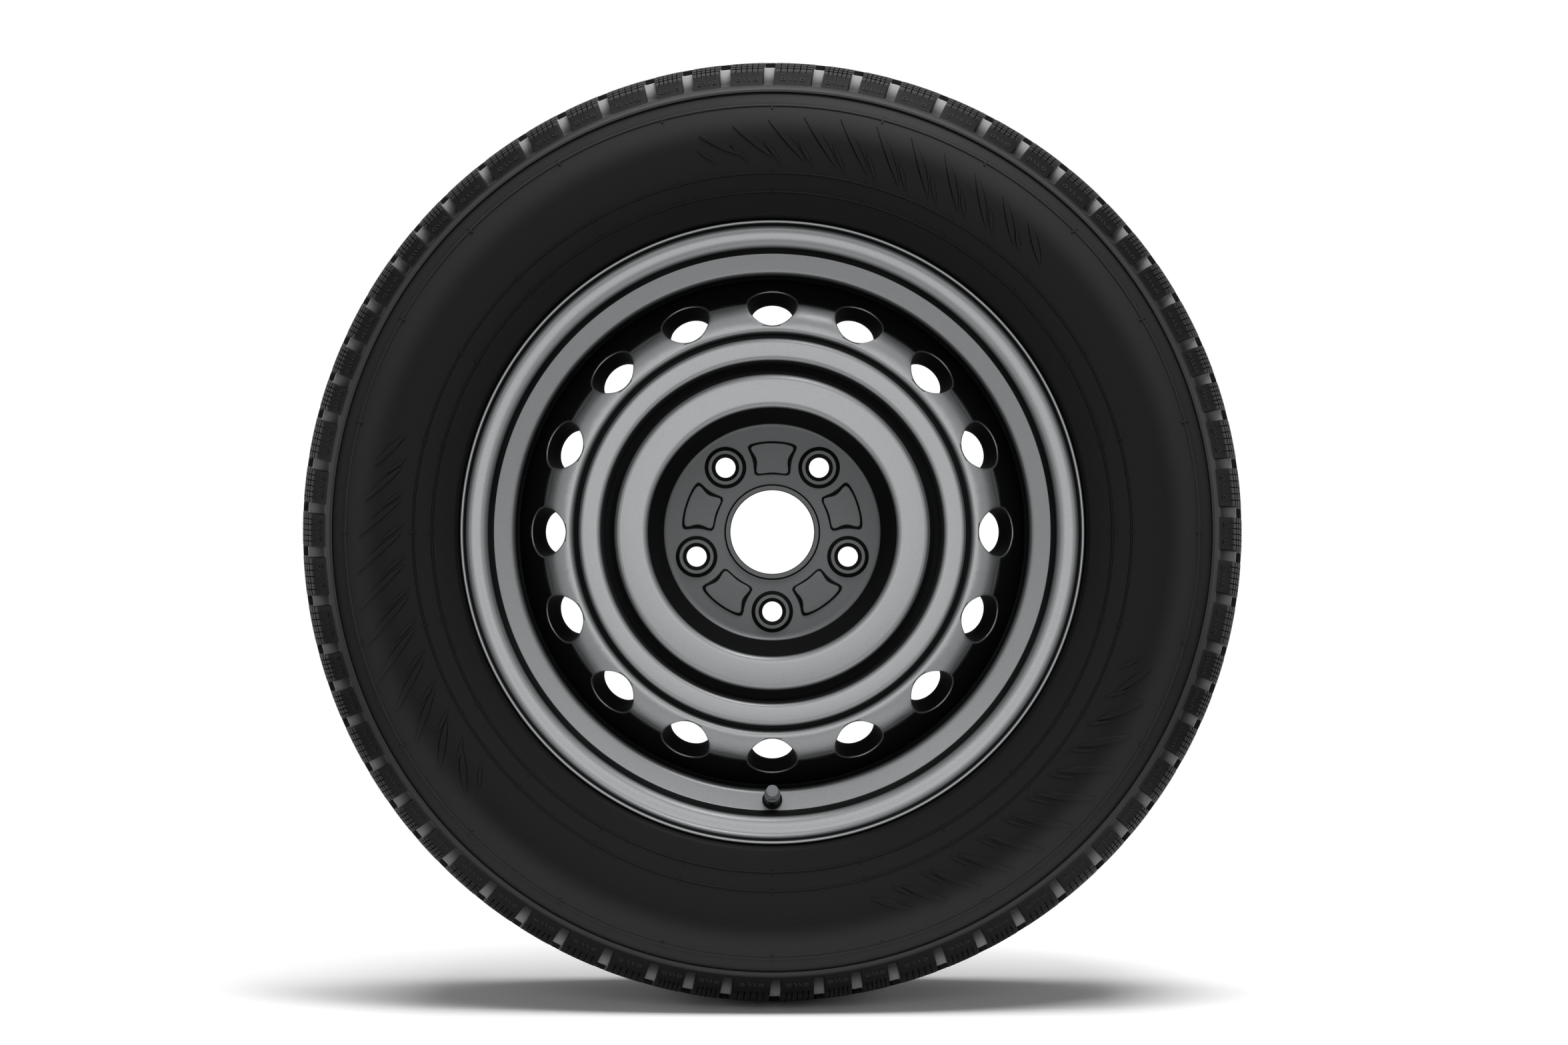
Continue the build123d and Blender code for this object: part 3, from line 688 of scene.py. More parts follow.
@dataclass
class Disc:
    """Pressed disc: hub flat with lip, pads and nut seats, rings, collared vents and welding skirt."""

    paint: bpy.types.Material
    rim: RimSizes
    sizes: DiscSizes = field(default_factory=DiscSizes)
    columns: int = 320
    side_steps: int = 14
    patch_rows: int = 4
    probes: int = 400
    bend_step: float = 0.19
    edge_step: float = 0.3

    def __post_init__(self) -> None:
        """Works out both faces of the sheet from the bore to the skirt."""
        s = self.sizes
        skirt = self.rim.well_inner_radius - s.skirt_gap
        radii = s.hub_edge_radius + np.concatenate([[0.0], np.cumsum(s.widths)])
        ys = -s.hub_front - np.concatenate([[0.0], np.cumsum(s.rises)])
        corners = [
            (s.bore_radius, -s.hub_front),
            *zip(radii, ys),
            (skirt, -s.skirt_start),
            (skirt, -s.skirt_end),
        ]
        near, far = sheet(corners, s.bends, s.sheet, step=self.bend_step)
        self.crease = np.array(corners[-3])
        self.front = PathMap(near)
        self.back = PathMap(far)
        self.clocks = even_clocks(self.columns)
        self.surface = Surface("disc_pressing")

    def rectangle(self, low: float, high: float, half_columns: int) -> Outline:
        """Outline of a patch that is cut from the revolved face, once round from its lower left.

        Args:
            low: first coordinate of the patch's inner edge.
            high: first coordinate of its outer edge.
            half_columns: columns on each side of its middle.

        Returns:
            First coordinates and clock offsets of the outline's points.
        """
        across = np.arange(-half_columns, half_columns + 1) * (FULL_TURN / self.columns)
        up = np.linspace(low, high, self.side_steps + 1)
        width = len(across) - 1
        first = np.concatenate([np.full(width, low), up[:-1], np.full(width, high), up[::-1][:-1]])
        clock = np.concatenate([across[:-1], np.full(self.side_steps, across[-1]),
                                across[::-1][:-1], np.full(self.side_steps, across[0])])
        return first, clock

    def strip(self, path: Array, way: Sequence[float]) -> None:
        """Carries an open stretch of a face round the axis.

        Args:
            path: (radius, y) points of the stretch.
            way: radial and axial share of the direction that it faces.
        """
        def facing(points: Array) -> Array:
            """Direction with the given radial and axial shares at each point."""
            flat = points * np.array([1.0, 0.0, 1.0])
            flat = flat / np.linalg.norm(flat, axis=1, keepdims=True)
            return flat * way[0] + np.array([0.0, way[1], 0.0])

        self.surface.add(revolve(path, self.clocks), facing, wrap=True)

    def base_y(self, side: Side) -> float:
        """Place of the hub flat along the axis, on one face."""
        return -self.sizes.hub_front if side is Side.FRONT else -self.sizes.offset

    def hub_patch(self, side: Side, outline: Outline, middle_clock: float, centre: float, rays: Array,
                  rows: Array, heights: Array, film: Sequence[float] = ()) -> None:
        """Patch of the hub flat round one feature, from the feature's rows out to its rectangle.

        A row's point lies at its distance from the feature's centre along a ray. Past the last row, the
        points run straight to the rectangle in equal shares.

        Args:
            side: face that the patch is on.
            outline: radii and clock offsets of the rectangle.
            middle_clock: clock angle of the feature.
            centre: radius of the feature's centre.
            rays: (columns,) ray angles in the flat, from the outward radius.
            rows: (n, columns) distances from the feature's centre along the rays.
            heights: (n,) y values of these rows.
            film: share of painted shade on the first rows.
        """
        first, clock = outline
        local_x = centre + rows * np.cos(rays)
        local_t = rows * np.sin(rays)
        shares = np.linspace(0.0, 1.0, self.patch_rows + 1)[1:, None]
        out_x = local_x[-1] + shares * (first * np.cos(clock) - local_x[-1])
        out_t = local_t[-1] + shares * (first * np.sin(clock) - local_t[-1])
        x = np.concatenate([local_x, out_x])
        t = np.concatenate([local_t, out_t])
        y = over_columns(np.concatenate([heights, np.full(self.patch_rows, self.base_y(side))]), len(rays))
        grid = polar(np.hypot(x, t), y, np.arctan2(t, x) + middle_clock)
        # Painted shade on the first rows, none on the rest.
        painted_shade = np.zeros(len(x))
        painted_shade[:len(film)] = film
        facing = along((0.0, side.value, 0.0))
        self.surface.add(grid, facing, wrap=True, film=over_columns(painted_shade, len(rays)))

    def seats(self, side: Side, outline: Outline) -> None:
        """Five patches with a bolt hole each: on the front a cone seat on a boss, on the rear a plain hole.

        The profile runs up the hole's wall, out along the cone to the boss's top and down its slope.

        Args:
            side: face that the patches are on.
            outline: radii and clock offsets of a patch.
        """
        s = self.sizes
        base = self.base_y(side)
        top = base - s.boss_height
        seat_depth = (s.seat_radius - s.bolt_hole_radius) / math.tan(math.radians(s.seat_half_angle))
        if side is Side.FRONT:
            corners = [
                (s.bolt_hole_radius, -s.offset),
                (s.bolt_hole_radius, top + seat_depth),
                (s.seat_radius, top),
                (s.boss_top_radius, top),
                (s.boss_base_radius - s.boss_foot_inset, base),
                (s.boss_base_radius + s.boss_foot_run, base),
            ]
            seat = rounded(corners, s.seat_bends, step=self.edge_step)
        else:
            seat = np.array([(s.bolt_hole_radius, base), (s.boss_base_radius, base)])
        first, clock = outline
        rays = np.arctan2(first * np.sin(clock), first * np.cos(clock) - s.bolt_circle_radius)
        rows = over_columns(seat[:, 0], len(rays))
        for index in range(s.bolt_count):
            middle_clock = math.pi + index * FULL_TURN / s.bolt_count
            self.hub_patch(side, outline, middle_clock, s.bolt_circle_radius, rays, rows, seat[:, 1])

    def pad_distance(self, radius: Array, offset: Array, inset: float) -> Array:
        """Signed distance to a pad's outline: the soft maximum of its four edges' distances.

        The edges are two arcs round the axis and one round each neighbouring nut seat. The soft maximum
        is k times the logarithm of the sum of exp(distance / k).

        Args:
            radius: radii of the points.
            offset: clock angles of the points from the pad's middle.
            inset: how far the outline is moved inwards.

        Returns:
            Distances, below zero on the pad.
        """
        s = self.sizes
        step = math.pi / s.bolt_count
        x = radius * np.cos(offset)
        t = radius * np.sin(offset)
        keep_out = s.boss_base_radius + s.pad_margin + inset
        seat_x = s.bolt_circle_radius * math.cos(step)
        seat_t = s.bolt_circle_radius * math.sin(step)
        edges = np.stack([
            s.pad_inner_radius + inset - radius,
            radius - s.pad_outer_radius + inset,
            keep_out - np.hypot(x - seat_x, t + seat_t),
            keep_out - np.hypot(x - seat_x, t - seat_t),
        ])
        return s.pad_softness * np.log(np.exp(edges / s.pad_softness).sum(axis=0))

    def pads(self, side: Side, outline: Outline) -> None:
        """Five patches with an embossed pad each: raised on the front, hollow and smaller on the rear.

        Each row keeps a set distance from the pad's outline, more at its two sides, and the height falls
        along a soft ramp over these rows.

        Args:
            side: face that the patches are on.
            outline: radii and clock offsets of a patch.
        """
        s = self.sizes
        front = side is Side.FRONT
        centre = (s.pad_inner_radius + s.pad_outer_radius) / 2
        first, clock = outline
        rays = np.arctan2(first * np.sin(clock), first * np.cos(clock) - centre)
        inset = 0.0 if front else s.pad_wall

        def inside(distance: Array) -> Array:
            """Whether a point along each ray is on the pad."""
            x = centre + distance * np.cos(rays)
            t = distance * np.sin(rays)
            return self.pad_distance(np.hypot(x, t), np.arctan2(t, x), inset) < 0.0

        edge = find_edge(inside, np.full(len(rays), s.pad_outer_radius))
        drops = np.array(s.pad_edge_rows)
        levels = s.pad_height * (1.0 - smooth_step((drops - drops[0]) / s.pad_edge_fall))
        shares = np.array(s.pad_top_shares)[:, None]
        reach = s.pad_edge_reach + s.pad_side_reach * np.sin(rays) ** 4
        rows = np.concatenate([shares * (edge - s.pad_top_inset), edge + drops[:, None] * reach])
        heights = self.base_y(side) - np.concatenate([np.full(len(shares), s.pad_height), levels])
        # Painted shade darkens the rows round each pad's edge on the front.
        painted_shade = (0.0,) * len(shares) + s.pad_edge_painted_shade if front else ()
        for index in range(s.bolt_count):
            middle_clock = math.pi + (index + 0.5) * FULL_TURN / s.bolt_count
            self.hub_patch(side, outline, middle_clock, centre, rays, rows, heights, painted_shade)

    def vent_axes(self) -> tuple[Array, Array, Array]:
        """Crease point, outward axis and tangent of the vent at the top, as (x, y, z) vectors."""
        tilt = math.radians(self.sizes.vent_tilt)
        origin = np.array([0.0, self.crease[1], self.crease[0]])
        axis = np.array([0.0, -math.cos(tilt), math.sin(tilt)])
        across = np.array([1.0, 0.0, 0.0])
        return origin, axis, across

    def vent_edge(self, face: PathMap, wall: float, span: Span) -> tuple[Outline, Outline]:
        """Where a vent's cone leaves one face of the sheet.

        Rays run along the face from the vent's middle to the patch's outline, and each is halved until
        it meets the cone, whose radius grows by a fixed slope along the vent's axis.

        Args:
            face: front or back face.
            wall: added to the cone's radius: 0 for the hole, the collar's wall for its outside.
            span: running lengths of the patch's inner and outer edge.

        Returns:
            Running lengths and clock offsets of the edge, and those of the patch's outline.
        """
        s = self.sizes
        origin, axis, _ = self.vent_axes()
        first, clock = self.rectangle(*span, self.columns // (2 * s.vent_count))
        lengths = np.linspace(*span, self.probes)
        points = revolve(face.at(lengths), np.zeros(1))[:, 0] - origin
        off_axis = np.linalg.norm(points - (points @ axis)[:, None] * axis, axis=1)
        centre = lengths[int(np.argmin(off_axis))]

        def inside(share: Array) -> Array:
            """Whether a point on the way to the patch's outline is within the cone."""
            path = face.at(centre + share * (first - centre))
            spot = revolve(path[None], (share * clock)[None])[0] - origin
            height = spot @ axis
            spread = np.linalg.norm(spot - height[:, None] * axis, axis=1)
            return spread < s.vent_radius + wall + s.vent_slope * height

        share = find_edge(inside, np.ones(len(first)))
        return (centre + share * (first - centre), share * clock), (first, clock)

    def vent_skin(self, face: PathMap, edge: Outline, outline: Outline, gap: float) -> Array:
        """Rows of one face from near the edge of a vent out to its patch's outline, in shares of the way.

        Args:
            face: front or back face.
            edge: running lengths and clock offsets of the vent's edge.
            outline: those of the patch's outline.
            gap: distance of the first row from the edge.

        Returns:
            Grid of points, shape (rows, columns, 3).
        """
        length, clock = edge
        first, out_clock = outline
        run = np.hypot(first - length, (out_clock - clock) * self.crease[0])
        even = np.linspace(0.0, 1.0, self.patch_rows + 1)[1:]
        shares = np.concatenate([(gap / run)[None], over_columns(even, len(run))])
        return revolve(face.at(length + shares * (first - length)), clock + shares * (out_clock - clock))

    def on_cone(self, points: Array, wall: float, heights: Array) -> Array:
        """Points on the vent's cone in line with given points, at heights along its axis.

        Args:
            points: points that give the angle round the axis.
            wall: added to the cone's radius.
            heights: height of each point from the crease.

        Returns:
            The points on the cone.
        """
        s = self.sizes
        origin, axis, across = self.vent_axes()
        up = np.cross(axis, across)
        flat = points - origin
        angle = np.arctan2(flat @ up, flat @ across)
        radius = s.vent_radius + wall + s.vent_slope * heights
        ring = np.cos(angle)[..., None] * across + np.sin(angle)[..., None] * up
        return origin + heights[..., None] * axis + radius[..., None] * ring

    def vents(self, front_span: Span, back_span: Span) -> None:
        """Vent patches of both faces with the drawn collar between them, repeated round the wheel.

        The hole's edge rolls over along a parabola from the front face into the cone. The cone runs down
        to the collar's lip, and its outside runs back up to the rear face.

        Args:
            front_span: running lengths of the patch's inner and outer edge on the front face.
            back_span: the same on the back face.
        """
        s = self.sizes
        origin, axis, _ = self.vent_axes()
        edge, outline = self.vent_edge(self.front, 0.0, front_span)
        skin = self.vent_skin(self.front, edge, outline, s.vent_roll)
        rim = revolve(self.front.at(edge[0])[None], edge[1][None])[0]
        roll_height = (rim - origin) @ axis - s.vent_roll
        below = self.on_cone(rim, 0.0, roll_height)
        t = np.linspace(0.0, 1.0, s.vent_roll_rows)[:, None, None]
        rolled = (1 - t) ** 2 * skin[:1] + 2 * t * (1 - t) * rim[None] + t ** 2 * below[None]
        end = -s.collar_depth
        lip_height = end + s.collar_edge
        collar_in = np.stack([self.on_cone(rim, 0.0, roll_height + share * (lip_height - roll_height))
                              for share in s.collar_in_shares])
        outer, outer_outline = self.vent_edge(self.back, s.collar_wall, back_span)
        outer_rim = revolve(self.back.at(outer[0])[None], outer[1][None])[0]
        outer_height = (outer_rim - origin) @ axis
        collar_out = np.stack([self.on_cone(outer_rim, s.collar_wall,
                                            lip_height + share * (outer_height - lip_height))
                               for share in s.collar_out_shares])
        level = np.ones(len(rim))
        lip = np.stack([
            self.on_cone(rim, s.collar_round, level * (end + s.collar_round_fall)),
            self.on_cone(rim, s.collar_wall - s.collar_round, level * end),
            collar_out[0],
        ])
        back = self.vent_skin(self.back, outer, outer_outline, s.collar_foot_gap)
        wall = np.concatenate([rolled, collar_in])
        # Painted shade blacks out the collar's inside, and the rolled edge stays bright.
        painted_shade = over_columns(s.vent_painted_shade, len(rim))
        for clock in even_clocks(s.vent_count):
            turn = np.array([
                [math.cos(clock), 0.0, -math.sin(clock)],
                [0.0, 1.0, 0.0],
                [math.sin(clock), 0.0, math.cos(clock)],
            ])
            foot = (origin + end * axis) @ turn
            line = axis @ turn
            self.surface.add(skin @ turn, along(line), wrap=True)
            self.surface.add(wall @ turn, towards_line(foot, line), wrap=True, film=painted_shade)
            self.surface.add(np.concatenate([wall[-1:], lip]) @ turn, along(-line), wrap=True)
            self.surface.add(collar_out @ turn, towards_line(foot, line, -1.0), wrap=True)
            self.surface.add(np.concatenate([collar_out[-1:], back]) @ turn, along(-line), wrap=True)

    def build(self) -> None:
        """Joins the hub, the rings, the vents and the skirt into one pressing and paints it."""
        s = self.sizes
        lip_end = s.bore_radius + s.lip_width
        flat_low = lip_end + s.flat_start_gap
        flat_high = s.hub_edge_radius - s.flat_end_inset
        lip_top = -s.hub_front - s.lip_height
        corners = [
            (flat_low, -s.offset),
            (s.bore_radius, -s.offset),
            (s.bore_radius, lip_top),
            (lip_end - s.lip_slope_inset, lip_top),
            (lip_end + s.lip_slope_run, -s.hub_front),
            (flat_low, -s.hub_front),
        ]
        bore = rounded(corners, s.bore_bends, step=self.edge_step)
        in_sheet = away_from_ring(s.bore_radius + s.lip_width / 2, -s.hub_front + s.sheet / 2)
        self.surface.add(revolve(bore, self.clocks), in_sheet, wrap=True)
        outline = self.rectangle(flat_low, flat_high, self.columns // (4 * s.bolt_count))
        for side in Side:
            self.seats(side, outline)
            self.pads(side, outline)

        crease = self.crease[0]
        front_span = (self.front.where_radius(crease - s.vent_radius - s.vent_inner_gap),
                      self.front.where_radius(crease) + s.vent_radius + s.vent_outer_gap)
        back_span = (self.back.where_radius(s.back_patch_radius),
                     self.back.where_radius(crease) + s.back_patch_run)
        for face, span, way in ((self.front, front_span, -1.0), (self.back, back_span, 1.0)):
            self.strip(face.between(face.where_radius(flat_high), span[0]), (0.0, way))
        self.vents(front_span, back_span)
        self.strip(self.front.between(front_span[1], self.front.length[-1]), (1.0, -0.3))
        self.strip(self.back.between(back_span[1], self.back.length[-1]), (-1.0, 0.3))
        self.strip(np.stack([self.front.path[-1], self.back.path[-1]]), (0.0, 1.0))
        piece = self.surface.build(sharp=48.0)
        # Painted shade darkens the disc's walls, the sunk hub, the trough and the vents' insides.
        PaintedShade().mark(piece, s.hub_edge_radius)
        place(piece, "wheel", Slot.PAINT, self.paint, "disc")


@dataclass(frozen=True)
class TyreSizes:
    """Sizes of the tyre, in millimetres and degrees."""

    radius: float = 340.0
    half_section: float = 109.1
    widest_radius: float = 272.0
    crown_arc: float = 400.0
    crown_half: float = 65.0
    shoulder_arc: float = 45.0
    shoulder_sweep: float = 28.0
    buttress_drop: float = 11.4
    buttress_run: float = 9.5
    rib_radius: float = 309.5
    rib_inset: float = 11.0
    rib_height: float = 1.9
    rib_width: float = 1.8
    flange_radius: float = 220.1
    flange_edge_inset: float = 12.0
    flange_edge_clearance: float = 2.4
    bead_gap: float = 0.2
    toe_length: float = 17.5
    toe_rise: float = 12.0
    chafer_wall: float = 14.0
    sidewall: float = 8.5
    undertread: float = 9.0
    liner_bend: float = 26.0
    line_radii: tuple[float, ...] = (299.5, 251.5, 238.5)
    line_height: float = 0.9
    line_margin: float = 0.4
    # Painted sheen: a lighter grey on the upper sidewall, standing in for the light it catches.
    painted_sheen_share: float = 0.09
    painted_sheen_start: float = 2.0
    painted_sheen_fade: float = 18.0
    painted_sheen_y: float = 97.5
    groove_depth: float = 8.5
    centre_groove_y: float = 16.0
    centre_groove_width: float = 7.0
    outer_groove_y: float = 50.0
    outer_groove_width: float = 7.5
    tie_height: float = 1.5
    floor_bevel: float = 0.3
    wall_bevel: float = 0.4
    block_bevel: float = 0.5
    shoulder_slot_width: float = 8.2
    shoulder_slot_skew: float = 4.0
    shoulder_slot_knee: float = 73.0
    shoulder_slot_fall: float = 3.0
    middle_slot_width: float = 4.6
    middle_slot_skew: float = 38.0
    middle_slot_notch: float = 4.0
    pitch_shares: tuple[float, ...] = (1.12, 0.87, 0.87, 1.12, 1.12, 1.0, 1.0, 1.12, 0.87, 0.87, 1.0)
    pitch_repeats: int = 6

    @property
    def floor_radius(self) -> float:
        """Radius of the grooves' floor."""
        return self.radius - self.groove_depth

    def crown(self, y: Array) -> Array:
        """Radius of the tread's surface: a wide arc across the crown, then a tighter one on the shoulder.

        Args:
            y: distances from the middle plane.

        Returns:
            Radius at each distance.
        """
        y = np.abs(y)
        start = math.asin(self.crown_half / self.crown_arc)
        edge = self.radius - self.crown_arc * (1 - math.cos(start))
        drop = np.sqrt(self.crown_arc ** 2 - np.minimum(y, self.crown_half) ** 2)
        crown = self.radius - self.crown_arc + drop
        share = np.clip(math.sin(start) + (y - self.crown_half) / self.shoulder_arc, -1.0, 1.0)
        shoulder = edge - self.shoulder_arc * (math.cos(start) - np.sqrt(1.0 - share ** 2))
        return np.where(y <= self.crown_half, crown, shoulder)

    @property
    def shoulder_edge(self) -> tuple[float, float]:
        """Radius and distance from the middle plane of the corner over the blocks' side faces."""
        start = math.asin(self.crown_half / self.crown_arc)
        end = start + math.radians(self.shoulder_sweep)
        y = self.crown_half + self.shoulder_arc * (math.sin(end) - math.sin(start))
        return float(self.crown(np.array(y))), y

    @property
    def block_foot(self) -> tuple[float, float]:
        """Radius and distance from the middle plane of the foot of the blocks' side faces."""
        radius, y = self.shoulder_edge
        return radius - self.buttress_drop, y + self.buttress_run

    def sidewall_y(self, radius: Array) -> Array:
        """How far the sidewall stands from the middle plane: one arc above its widest point, one below.

        An arc that falls by an inset over a rise has the radius (rise^2 + inset^2) / (2 inset).

        Args:
            radius: radii on the sidewall.

        Returns:
            Distance at each radius.
        """
        upper = radius > self.widest_radius
        widest = self.widest_radius
        rise = np.where(upper, self.rib_radius - widest, widest - self.flange_radius)
        inset = np.where(upper, self.rib_inset, self.flange_edge_inset)
        bow = (rise ** 2 + inset ** 2) / (2 * inset)
        return self.half_section - bow + np.sqrt(bow ** 2 - (radius - self.widest_radius) ** 2)

    def painted_sheen(self, radius: Array) -> Array:
        """Share of painted sheen, a lighter grey for the light that the upper sidewall catches, at a
        radius.
        """
        share = smooth_step((radius - self.widest_radius - self.painted_sheen_start) / self.painted_sheen_fade)
        return self.painted_sheen_share * share

    def groove_clocks(self) -> tuple[Array, Array]:
        """Clock angles of the lateral grooves from the bottom on, and the pitch after each, in radians."""
        shares = np.array(self.pitch_shares * self.pitch_repeats)
        pitches = FULL_TURN * shares / shares.sum()
        return math.pi + np.concatenate([[0.0], np.cumsum(pitches)[:-1]]), pitches


@dataclass(frozen=True)
class ShoulderSizes:
    """Fine moulding of the shoulder blocks, in millimetres. Places are distances from the middle plane."""

    lines: tuple[float, ...] = (67.6, 72.8, 77.2, 81.0)
    line_halves: tuple[float, ...] = (1.15, 1.0, 0.85, 0.75)
    line_depth: float = 2.2
    rows_between: tuple[float, ...] = (65.0, 70.2, 75.0, 79.1, 83.0)
    corner: float = 0.6
    face_shares: tuple[float, ...] = (0.06, 0.94)
    sipes: int = 5
    sipe_width: float = 0.42
    sipe_depth: float = 4.2
    sipe_wave: float = 0.15
    wave_length: float = 13.0
    sipe_fade_in: float = 2.0
    sipe_fade_out: float = 2.5
    sipe_overrun: float = 0.4
    # Painted sheen: groove floors lit grey, brightest near the top and weaker towards the foot, and a
    # lighter rib edge.
    painted_sheen_start: float = 52.0
    painted_sheen_fade: float = 6.0
    painted_sheen_depth: float = 3.0
    painted_sheen_slot: float = 0.5
    painted_sheen_slot_fade: float = 0.4
    sheen_fall_start: float = 74.0
    sheen_fall_fade: float = 10.0
    sheen_fall_share: float = 0.85
    rib_start: tuple[float, float] = (-0.5, 0.7)
    rib_bevel: tuple[float, float] = (0.35, 0.25)
    rib_painted_sheen: float = 0.16


@dataclass(frozen=True)
class CentreSizes:
    """Fine moulding of the middle of the tread, in millimetres. Places are distances from its middle."""

    block_rows: tuple[float, ...] = (43.0, 39.5, 36.0, 32.5, 29.0, 25.5, 22.0)
    rib_rows: tuple[float, ...] = (4.5, 1.5)
    notch_bevel: float = 0.15
    sipes: int = 4
    sipe_width: float = 0.8
    sipe_depth: float = 4.5
    sipe_fade: float = 2.0
    zigzag: float = 1.5
    zigzag_length: float = 7.0


@dataclass(frozen=True)
class LeafRow:
    """One row of slanted, leaf-shaped ribs in a group, in millimetres and degrees."""

    shift: float
    foot: float
    foot_swell: float
    head: float
    head_swell: float
    lean: float
    width: float
    height: float
    samples: int


@dataclass(frozen=True)
class ReliefSizes:
    """Raised relief of a sidewall, in millimetres and degrees."""

    hatch_count: int = 1320
    hatch_radii: tuple[float, float] = (301.0, 308.8)
    hatch_lean: float = 3.2
    hatch_width: float = 0.85
    hatch_height: float = 0.2
    tick_count: int = 24
    tick_half: float = 2.4
    tick_width: float = 1.3
    tick_height: float = 1.1
    group_clocks: tuple[float, ...] = (20.0, 140.0, 260.0)
    leaf_count: int = 11
    leaf_pitch: float = 5.0
    leaf_rows: tuple[LeafRow, ...] = (
        LeafRow(0.0, 266.0, -8.0, 280.0, 14.0, 5.5, 6.5, 0.9, 13),
        LeafRow(3.6, 262.0, -6.0, 272.0, 3.0, 2.6, 4.0, 0.75, 9),
    )


@dataclass(frozen=True)
class MarkSizes:
    """Small moulded rings and bars on the blocks' side faces, in millimetres."""

    ring_section: tuple[tuple[float, float], ...] = (
        (1.0, -0.3), (1.05, 0.28), (1.75, 0.28), (1.8, -0.3), (1.0, -0.3))
    ring_points: int = 12
    ring_shares: tuple[float, ...] = (0.3, 0.7)
    bar_shares: tuple[float, ...] = (0.44, 0.54)
    bar_half_width: float = 0.45
    bar_half_length: float = 1.9
    bar_lean: float = 0.35
    bar_top_share: float = 0.8
    bar_lift: float = 0.3
    drop: float = 0.8
    # Share of painted sheen on the marks.
    painted_sheen: float = 0.1


# Section of a lateral groove: shares of its half width from its middle, and of its depth at each.
GROOVE_OFFSETS = (0.0, 0.55, 0.93, 0.985, 1.005, 1.06, 1.2)
GROOVE_DEPTHS = (1.0, 1.0, 0.97, 0.6, 0.1, 0.02, 0.0)
# Section of a sipe: shares of its width from its middle, and of its depth at each.
SIPE_OFFSETS = (-0.85, -0.5, 0.5, 0.85)
SIPE_DEPTHS = (0.0, 1.0, 1.0, 0.0)


@dataclass(frozen=True)
class Pitches:
    """Columns of a tread band: each pitch opens and ends with half a lateral groove, with sipes between."""

    clocks: Array
    slot: Array
    sipe: Array
    sipe_index: Array

    @classmethod
    def lay(cls, tyre: TyreSizes, half_width: float, sipes: int, sipe_width: float) -> "Pitches":
        """Lays the columns of every pitch.

        Half of the groove's section opens the pitch, and is mirrored at its end. The sipes divide the
        block between them into equal parts.

        Args:
            tyre: tyre sizes.
            half_width: half of the lateral groove's width.
            sipes: number of sipes across a block.
            sipe_width: width of a sipe.

        Returns:
            Clock angle of each column, share of the groove's depth there, share of a sipe's depth, and
            the sipe's number or -1.
        """
        starts, pitches = tyre.groove_clocks()
        offsets = np.array(GROOVE_OFFSETS) * half_width / tyre.radius
        depths = np.array(GROOVE_DEPTHS)
        lips = np.array(SIPE_OFFSETS) * sipe_width / tyre.radius
        count = len(starts)
        block = pitches - 2 * half_width / tyre.radius
        shares = (np.arange(sipes) + 1.0) / (sipes + 1.0)
        middles = half_width / tyre.radius + shares[None, :] * block[:, None]
        inner = (middles[:, :, None] + lips).reshape(count, -1)
        local = np.concatenate([np.broadcast_to(offsets, (count, len(offsets))), inner,
                                pitches[:, None] - offsets[:0:-1]], axis=1)
        none = np.zeros(len(depths))
        slot = np.concatenate([depths, np.zeros(inner.shape[1]), depths[:0:-1]])
        sipe = np.concatenate([none, np.tile(SIPE_DEPTHS, sipes), none[1:]])
        index = np.concatenate([none - 1, np.repeat(np.arange(sipes), len(lips)), none[1:] - 1])
        columns = (np.tile(row, count) for row in (slot, sipe, index))
        return cls((starts[:, None] + local).ravel(), *columns)


@dataclass
class Ridges:
    """Raised ribs of four-sided section that lie on a sidewall."""

    surface: Surface
    tyre: TyreSizes
    side: Side
    top_share: float = 0.62
    sunk: float = 0.4
    point_share: float = 0.04
    swell_power: float = 0.8

    def add(self, starts: Places, ends: Places, width: float, height: float, samples: int = 2,
            lens: bool = False) -> None:
        """Adds ribs between pairs of (radius, clock) points.

        Stations lie evenly on the straight line between the two points. At each, four corners stand
        across the line, two in the sidewall and two above it, closer together. A leaf's width follows a
        power of half a sine wave along it.

        Args:
            starts: radius and clock angle of each rib's start.
            ends: radius and clock angle of its end.
            width: width at its foot, in millimetres.
            height: how far it stands from the sidewall.
            samples: stations along it.
            lens: whether it is a leaf, which swells towards its middle and ends in points.
        """
        start = np.column_stack(np.broadcast_arrays(*starts))
        run = np.column_stack(np.broadcast_arrays(*ends)) - start
        share = np.linspace(0.0, 1.0, samples)[None, :, None]
        line = start[:, None, :] + share * run[:, None, :]
        middle = start[:, :1] + run[:, :1] / 2
        flat = np.concatenate([run[:, :1], run[:, 1:] * middle], axis=1)
        flat = flat / np.linalg.norm(flat, axis=1, keepdims=True)
        across = np.stack([-flat[:, 1], flat[:, 0]], axis=1)
        swell = np.ones_like(share[..., 0])
        if lens:
            part = self.point_share + (1.0 - 2 * self.point_share) * share[..., 0]
            swell = np.sin(math.pi * part) ** self.swell_power
        half = (width / 2 * swell)[..., None] * np.array([-1.0, -self.top_share, self.top_share, 1.0])
        lifts = np.array([-self.sunk, height, height, -self.sunk])
        radius = line[..., :1] + across[:, None, :1] * half
        clock = line[..., 1:] + across[:, None, 1:] * half / radius
        y = self.side.value * (self.tyre.sidewall_y(radius) + lifts)
        points = polar(radius, y, clock)
        count = len(start)
        corners = len(lifts)
        index = np.arange(samples * corners).reshape(samples, corners)
        sides = grid_quads(np.concatenate([index, index[:, :1]], axis=1))
        quads = np.concatenate([sides, index[:1, ::-1], index[-1:]])
        centres = np.repeat(points.reshape(count, -1, 3).mean(axis=1), len(quads), axis=0)
        quads = (quads[None] + (np.arange(count) * index.size)[:, None, None]).reshape(-1, 4)
        # Ribs take the sidewall's painted sheen at their radius.
        self.surface.add_faces(points.reshape(-1, 3), quads, lambda middles: middles - centres,
                               self.tyre.painted_sheen(radius))


